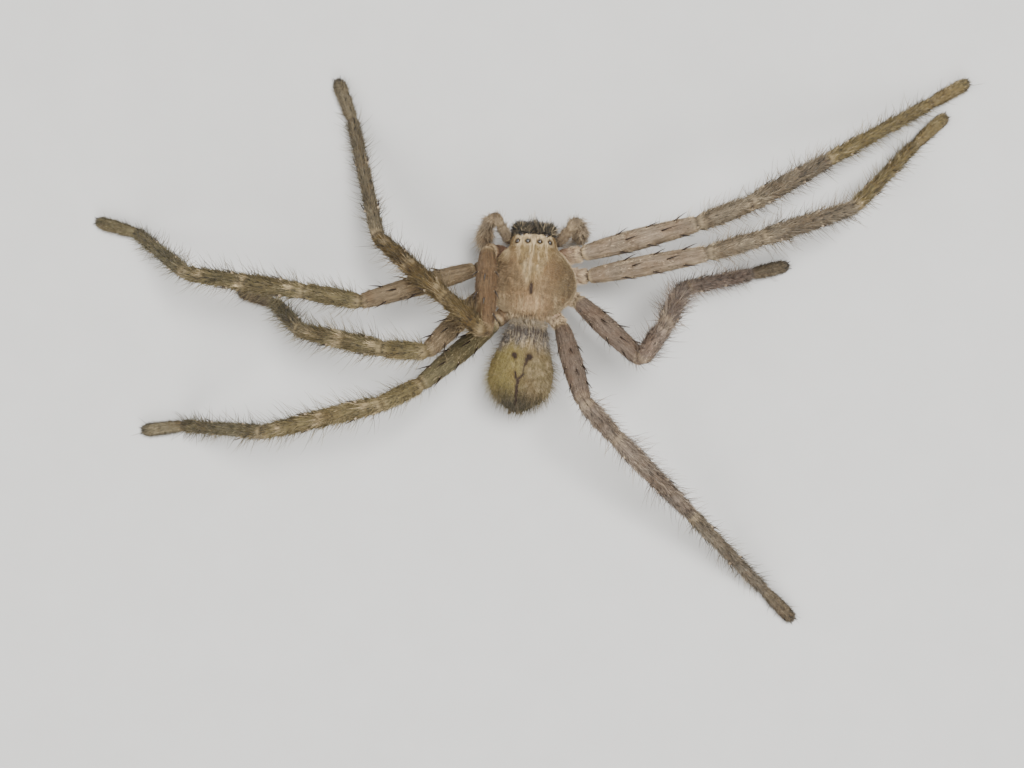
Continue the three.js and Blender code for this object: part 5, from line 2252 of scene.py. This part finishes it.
@dataclass
class Spider:
    """All the parts of the spider, built in order."""

    finishes: Finishes
    seed: int = 417
    share: float = 1.0
    sleeves: list[tuple[Sleeve, Cell]] = field(default_factory=list)

    def rng(self, number: int) -> np.random.Generator:
        """Returns the seeded draws of one piece."""
        return np.random.default_rng([self.seed, number])

    def new_coat(self, name: str, number: int) -> Coat:
        """Returns an empty coat with seeded draws of its own."""
        return Coat(f"coat_{name}", self.rng(number), self.share)

    def build(self) -> None:
        """Builds the skin, the coat and the hard parts."""
        eyes, carapace, abdomen, underside = Eyes(), Carapace(), Abdomen(), Underside()
        shield, sack = carapace.sleeve(eyes), abdomen.sleeve()
        plate, flank, lip = underside.breastplate(), underside.flank(), underside.lip()
        spinnerets = self.spinnerets(abdomen)
        waist = self.tube("waist", *underside.waist, 0.62, underside.brown)
        self.sleeves = [
            (shield, (0.0, 0.58, 0.38, 1.0)),
            (sack, (0.4, 0.58, 0.78, 1.0)),
            (plate, (0.8, 0.8, 1.0, 1.0)),
            (flank, (0.8, 0.6, 1.0, 0.78)),
            (lip, (0.9, 0.5, 0.98, 0.56)),
            (waist, (0.8, 0.5, 0.88, 0.56)),
            *((tube, (0.4 + i * 0.05, 0.565, 0.44 + i * 0.05, 0.578)) for i, tube in enumerate(spinnerets)),
        ]
        limbs = self.build_legs()
        soft = self.soft_limbs(underside)
        self.coat_carapace(carapace, shield, eyes)
        self.coat_abdomen(abdomen, sack)
        self.coat_underside([plate, flank, waist, lip, *spinnerets])
        self.coat_palps(soft)
        self.coat_hips([sleeve for sleeve, _ in self.sleeves if sleeve.name.startswith("leg_right")])
        self.build_skin()
        jaws = Jaws()
        self.build_jaws(jaws)
        jaws.build_fangs(self.finishes.fang)
        eyes.build(self.finishes.eye)
        Spines().build(limbs, self.finishes, self.rng(50))
        Claws().build(limbs, self.finishes.claw)

    def build_legs(self) -> list[tuple[Side, Limb]]:
        """Shapes the legs and makes their coats.

        Returns:
            The legs, with the half of the body that each is on.
        """
        limbs = []
        for number, stance in enumerate(leg_stances()):
            leg = Leg(stance)
            limb = leg.limb()
            sleeve = limb.sleeve()
            leg.dress(sleeve, limb)
            limbs.append((stance.side, limb))
            self.sleeves.append((sleeve, strip(number, 0.06, 0.055)))
            coat = self.new_coat(sleeve.name, number)
            leg.grow(coat, sleeve, limb)
            coat.make(self.finishes.velvet, "leg")
        return limbs

    def soft_limbs(self, underside: Underside) -> list[Sleeve]:
        """Shapes the palps and the lobes beside the mouth.

        Args:
            underside: It says where the lobes are.

        Returns:
            The skins of the palps, and then those of the lobes.
        """
        palps = (
            Palp(Side.LEFT, ((127, 46), (122, 32), (226, -42), (262, -42))),
            Palp(Side.RIGHT, ((50, 46), (60, 32), (-40, -62), (-76, -70))),
        )
        soft: list[Sleeve] = []
        for number, palp in enumerate(palps):
            soft.append(palp.limb().sleeve())
            self.sleeves.append((soft[-1], (number * 0.3, 0.49, number * 0.3 + 0.28, 0.56)))
        for number, side in enumerate(Side):
            root, tip = (side.place(point) for point in underside.mouth)
            soft.append(self.tube(f"mouth_{side.value}", root, tip, 0.52, underside.brown))
            self.sleeves.append((soft[-1], (0.6 + number * 0.09, 0.49, 0.68 + number * 0.09, 0.56)))
        return soft

    def tube(
        self, name: str, start: Sequence[float], end: Sequence[float], radius: float, tone: Colour
    ) -> Sleeve:
        """Shapes a plain soft tube between two points.

        Args:
            name: Its name.
            start: Its first end.
            end: Its other end.
            radius: Its radius at the ends.
            tone: Its colour.

        Returns:
            The tube's skin.
        """
        profile = ((0, radius), (0.5, radius * 1.08), (1, radius))
        bone = Bone(np.array(start, float), np.array(end, float), profile, 1.0, 0.0, tone)
        return Limb(name, [bone], sides=20, spacing=0.2).sleeve()

    def spinnerets(self, abdomen: Abdomen) -> list[Sleeve]:
        """Shapes the small mound under the tail and its six fingers.

        Args:
            abdomen: It says where the tail is.

        Returns:
            The skin of the mound, and then those of the fingers.
        """
        base = abdomen.place(np.array(9.5), np.array(0.0), np.array(3.85))
        tone, step = srgb(104, 88, 62), np.array([0.0, 0.1, 0.0])
        sleeves = [self.tube("spinneret_mound", base + step, base - step, 0.62, tone)]
        fingers = ((0.4, 0.1, 14, -12), (0.42, -0.42, 10, -26), (0.16, -0.14, 4, -20))
        for across, rise, spread, drop in fingers:
            for side in Side:
                root = base + np.array([-across * side.sign, 0.0, rise])
                way = heading_pitch(-95.0 - side.sign * spread, drop)
                bone = Bone(root, root + way * 1.1, ((0, 0.36), (0.6, 0.3), (1, 0.18)), 1.0, 0.06, tone)
                name = f"spinneret_{side.value}_{len(sleeves) - 1}"
                sleeves.append(Limb(name, [bone], sides=14, spacing=0.15).sleeve())
        return sleeves

    def build_skin(self) -> None:
        """Makes the one skin of all the soft nodes."""
        bm = bmesh.new()
        for sleeve, cell in self.sleeves:
            sleeve.cell = cell
            sleeve.loft(bm)
        skin = link(finished_mesh(bm, "skin"), self.finishes.skin)
        nodes = ["carapace", "sternum", "waist", "abdomen", "spinnerets"]
        for side in Side:
            nodes += [f"mouth_{side.value}", f"palp_{side.value}_femur", f"palp_{side.value}_tarsus"]
            for pair in range(1, 5):
                nodes += [f"leg_{side.value}_{pair}_{part}" for part in ("hip", "femur", "tibia", "foot")]
        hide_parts(*nodes)

    def coat_carapace(self, carapace: Carapace, shield: Sleeve, eyes: Eyes) -> None:
        """Grows the coat of the carapace.

        Args:
            carapace: It says how the hair lies.
            shield: Its skin.
            eyes: The eyes, which stay bare.
        """
        coat = self.new_coat("carapace", 20)
        shield.strands = 60.0
        top = ease(shield.upper, -0.2, 0.1)
        for kind, count in (
            (Hair(0.42, 0.053, 12, 3, swing=13, splay=7, droop=0.0, streak=0.6, unlike=0.45), 8000),
            (Hair(0.66, 0.045, 16, 1, 2, swing=16, droop=0.5, tint=0.4, streak=0.6, unlike=0.5), 2300),
            (Hair(0.6, 0.045, 22, 1, 2, swing=30, droop=0.4, tint=1.9, streak=0.2), 700),
        ):
            roots = coat.roots(shield, count, top)
            carapace.flow(roots)
            roots = eyes.bare(roots, kind.length)
            pale = carapace.paleness(roots.at + roots.flow * kind.length * 0.5)
            roots.pale = np.maximum(roots.pale * 0.8, pale)
            roots.shade(carapace.marks, kind.length)
            coat.grow(roots, kind)
        x, y, z = np.moveaxis(shield.points, -1, 0)
        brow = Hair(0.5, 0.05, 34, 2, 2, swing=22, ruffle=12, tint=1.2)
        roots = coat.roots(shield, 450, ease(y, 4.3, 4.6) * ease(z, 6.35, 6.6) * top)
        ahead = np.array([0.0, 1.0, -0.25])
        roots.flow = unit(ahead - roots.normal * (roots.normal @ ahead)[:, None])
        roots.pale[:] = 0.9
        coat.grow(eyes.bare(roots, brow.length * 0.6), brow)
        back = bell(y + 4.45, 0.3) * ease(z, 5.0, 5.4)
        roots = coat.roots(shield, 380, back * (1 - ease(np.abs(x), 2.4, 3.2)))
        roots.flow = unit(np.array([0.0, -1.0, -0.1]) + roots.flow * 0.2)
        coat.grow(roots, Hair(0.62, 0.05, 14, 2, 2, swing=16, droop=0.4, tint=0.2))
        coat.make(self.finishes.body_hair, "carapace")

    def coat_abdomen(self, abdomen: Abdomen, sack: Sleeve) -> None:
        """Grows the coat of the abdomen.

        Args:
            abdomen: It says where the markings are.
            sack: Its skin.
        """
        coat = self.new_coat("abdomen", 21)
        sack.strands = 46.0
        back = abdomen.local(sack.points)[1]
        fringe = bell(sack.upper, 0.55) * (0.5 + 1.2 * ease(back, 5.0, 9.5))
        fore = bell(back - 1.6, 1.1) * ease(sack.upper, 0.0, 0.4)
        for kind, count, weight in (
            (Hair(0.38, 0.052, 24, 3, swing=18, splay=14, droop=0.0, streak=0.25, unlike=0.35), 9800, None),
            (Hair(0.62, 0.042, 38, 1, 2, swing=24, ruffle=12, droop=0.3, tint=0.8, streak=0.3), 2200, None),
            (Hair(1.1, 0.042, 66, 1, 2, swing=16, ruffle=10, droop=0.15, tint=-0.5), 800, fringe),
            (Hair(1.2, 0.045, 62, 1, 3, swing=14, ruffle=9, droop=0.2, tint=0.8), 600, fringe),
            (Hair(0.5, 0.06, 30, 2, swing=22, splay=8, tint=-3.4, unlike=0.1), 260, fore),
            (Hair(0.7, 0.05, 34, 1, 2, swing=26, ruffle=10, tint=2.6, unlike=0.3), 240, fore),
        ):
            roots = coat.roots(sack, count, weight)
            on_top = ease(roots.upper, 0.1, 0.4)
            reach = roots.at + roots.flow * kind.length * 0.5
            roots.pale = roots.pale * (1 - on_top) + abdomen.paleness(reach) * on_top
            roots.shade(lambda points: abdomen.marks(points) * on_top, kind.length)
            coat.grow(roots, kind)
        front = (1 - ease(back, 0.25, 0.7)) * ease(sack.upper, -0.5, 0.1)
        roots = coat.roots(sack, 380, front)
        roots.flow = unit(np.array([0.0, 1.0, 0.25]) + roots.flow * 0.3)
        roots.pale[:] = 0.35
        coat.grow(roots, Hair(0.6, 0.05, 24, 2, 2, swing=20, droop=0.4, tint=0.4))
        coat.make(self.finishes.body_hair, "abdomen")

    def coat_hips(self, hips: list[Sleeve]) -> None:
        """Grows the long white hair at the bases of the legs on the right.

        Args:
            hips: The legs' skins, from the front one back.
        """
        coat = self.new_coat("hips", 25)
        for number, sleeve in enumerate(hips):
            base = bell(sleeve.reach[:, None] - 2.1, 0.9) * ease(sleeve.upper, -0.4, 0.3)
            roots = coat.roots(sleeve, 120, base, strip(number, 0.25, 0.22))
            roots.pale[:] = 0.75 if number > 1 else 0.45
            coat.grow(roots, Hair(1.0, 0.05, 26, 2, 2, swing=16, tint=0.8))
        coat.make(self.finishes.body_hair, "leg")

    def coat_underside(self, under: list[Sleeve]) -> None:
        """Grows the coat of the underside.

        Args:
            under: The skins of the plate, the flank, the waist, the lip, the mound and its fingers.
        """
        coat = self.new_coat("underside", 22)
        counts = (1800, 1200, 300, 160, 260, *[110] * 6)
        for number, (sleeve, count) in enumerate(zip(under, counts)):
            roots = coat.roots(sleeve, count, cell=shelf(number, len(under)))
            coat.grow(roots, Hair(0.4, 0.05, 24, 2, swing=14, droop=0.0))
        coat.make(self.finishes.body_hair, "underside")

    def coat_palps(self, sleeves: list[Sleeve]) -> None:
        """Grows the coats of the palps and the mouth lobes.

        Args:
            sleeves: Their skins, with the two palps first.
        """
        coat = self.new_coat("palps", 23)
        for number, sleeve in enumerate(sleeves):
            cell, long = shelf(number, len(sleeves)), number < 2
            roots = coat.roots(sleeve, 1500 if long else 400, cell=cell)
            coat.grow(roots, Hair(0.42, 0.05, 22, 3, swing=12))
            if not long:
                continue
            tip = ease(sleeve.along / sleeve.along[-1], 0.35, 0.8)[:, None] + 0.15
            for kind, count in (
                (Hair(1.05, 0.045, 54, 1, 2, swing=24, ruffle=14, tint=2.0), 1150),
                (Hair(0.6, 0.05, 34, 2, swing=18, tint=0.8), 700),
                (Hair(0.8, 0.06, 42, 2, 2, swing=20, splay=5, tint=-3.2, unlike=0.1), 200),
                (Hair(1.9, 0.045, 62, 1, 3, swing=22, ruffle=14, droop=0.1, tint=1.0), 70),
            ):
                coat.grow(coat.roots(sleeve, count, tip * np.ones_like(sleeve.upper), cell), kind)
        coat.make(self.finishes.velvet, "leg")

    def build_jaws(self, jaws: Jaws) -> None:
        """Makes the jaws and their bristles.

        Args:
            jaws: Their shape.
        """
        bm = bmesh.new()
        coat = self.new_coat("jaws", 24)
        for number, side in enumerate(Side):
            sleeve = jaws.sleeve(side)
            sleeve.cell = shelf(number, 2)
            sleeve.loft(bm)
            height = sleeve.points[..., 2]
            ahead = ease(sleeve.normals()[..., 1], -0.7, -0.1) * (1 - ease(height, 6.6, 6.9))
            sleeve.length *= 1 - 0.35 * ease(height, 5.2, 5.85)
            sleeve.cover *= 1 + 1.2 * ease(height, 5.5, 5.85)
            for kind, count, pale in jaws.bristles:
                roots = coat.roots(sleeve, count, ahead, sleeve.cell)
                roots.pale[:] = pale
                inner = (1 - ease(roots.at[:, 0] * side.sign, 0.25, 0.8)) * ease(roots.at[:, 1], 4.6, 5.2)
                away = np.array([-0.25 * side.sign, 1.0, 0.25]) * inner[:, None]
                roots.normal = unit(roots.normal * (1 - 0.85 * inner[:, None]) + away)
                roots.length *= 1 + 0.7 * inner
                coat.grow(roots, kind)
        piece = link(finished_mesh(bm, "jaws"), self.finishes.jaw)
        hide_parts("jaw_left", "jaw_right")
        coat.make(self.finishes.bristle, "jaw")


@dataclass
class Studio:
    """The floor, the lights and the camera, in metres but for the camera's place in the spider's frame."""

    camera_at: Point = (-1.5, -12.31, 125.0)
    up_heading: float = 93.5
    lens: float = 36.4
    floor_half: float = 1.5
    floor_drop: float = 0.00002
    sensor: float = 36.0
    room_colour: Colour = (1.0, 0.965, 0.9)
    room_light: float = 0.35
    boxes: tuple[tuple[str, Point, float, float], ...] = (
        ("key", (0.12, 0.1, 0.52), 0.26, 5.6),
        ("fill", (-0.4, -0.1, 0.35), 0.35, 2.2),
        ("back", (0.1, -0.42, 0.32), 0.3, 2.4),
    )

    def build(self, finishes: Finishes) -> None:
        """Sets the studio up.

        Args:
            finishes: The materials.
        """
        self.lay_floor(finishes.floor)
        self.hang_lights()
        self.place_camera()

    def lay_floor(self, material: bpy.types.Material) -> None:
        """Lays the floor under the feet.

        Args:
            material: Its finish.
        """
        bm = bmesh.new()
        bmesh.ops.create_grid(bm, x_segments=8, y_segments=8, size=self.floor_half)
        mesh = finished_mesh(bm, "floor", smooth=False)
        mesh.materials.append(material)
        floor = bpy.data.objects.new("floor", mesh)
        floor.location.z = -self.floor_drop
        bpy.context.scene.collection.objects.link(floor)
        floor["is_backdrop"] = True

    def hang_lights(self) -> None:
        """Hangs three soft boxes and sets a dim room."""
        for name, at, size, power in self.boxes:
            data = bpy.data.lights.new(name, "AREA")
            data.size, data.energy = size, power
            lamp = bpy.data.objects.new(name, data)
            lamp.location = at
            lamp.rotation_mode = "QUATERNION"
            lamp.rotation_quaternion = (-Vector(at)).to_track_quat("-Z", "Y")
            bpy.context.scene.collection.objects.link(lamp)
        world = bpy.data.worlds.new("room")
        world.use_nodes = True
        room = world.node_tree.nodes["Background"]
        room.inputs["Color"].default_value = (*self.room_colour, 1.0)
        room.inputs["Strength"].default_value = self.room_light
        bpy.context.scene.world = world

    def place_camera(self) -> None:
        """Hangs the camera straight above, turned as the picture is."""
        data = bpy.data.cameras.new("camera")
        data.lens, data.sensor_width = self.lens, self.sensor
        data.clip_start, data.clip_end = 0.005, 10.0
        camera = bpy.data.objects.new("camera", data)
        camera.location = Vector(BENCH.metres(np.array(self.camera_at)))
        camera.rotation_euler = (0.0, 0.0, math.radians(self.up_heading - 90.0))
        bpy.context.scene.collection.objects.link(camera)
        bpy.context.scene.camera = camera


def main() -> None:
    """Builds the dressed spider and its studio."""
    logging.basicConfig(level=logging.INFO, format="%(name)s %(message)s")
    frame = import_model()
    LOG.info("%d nodes loaded", len(frame["nodes"]))
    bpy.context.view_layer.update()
    BENCH.measure()
    finishes = Finishes.mix_all()
    Spider(finishes, share=1.0).build()
    Studio().build(finishes)
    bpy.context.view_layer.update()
    total = sum(len(o.data.loop_triangles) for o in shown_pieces() if o.type == "MESH")
    LOG.info("whole model: %d triangles", total)


if __name__ == "__main__":
    main()
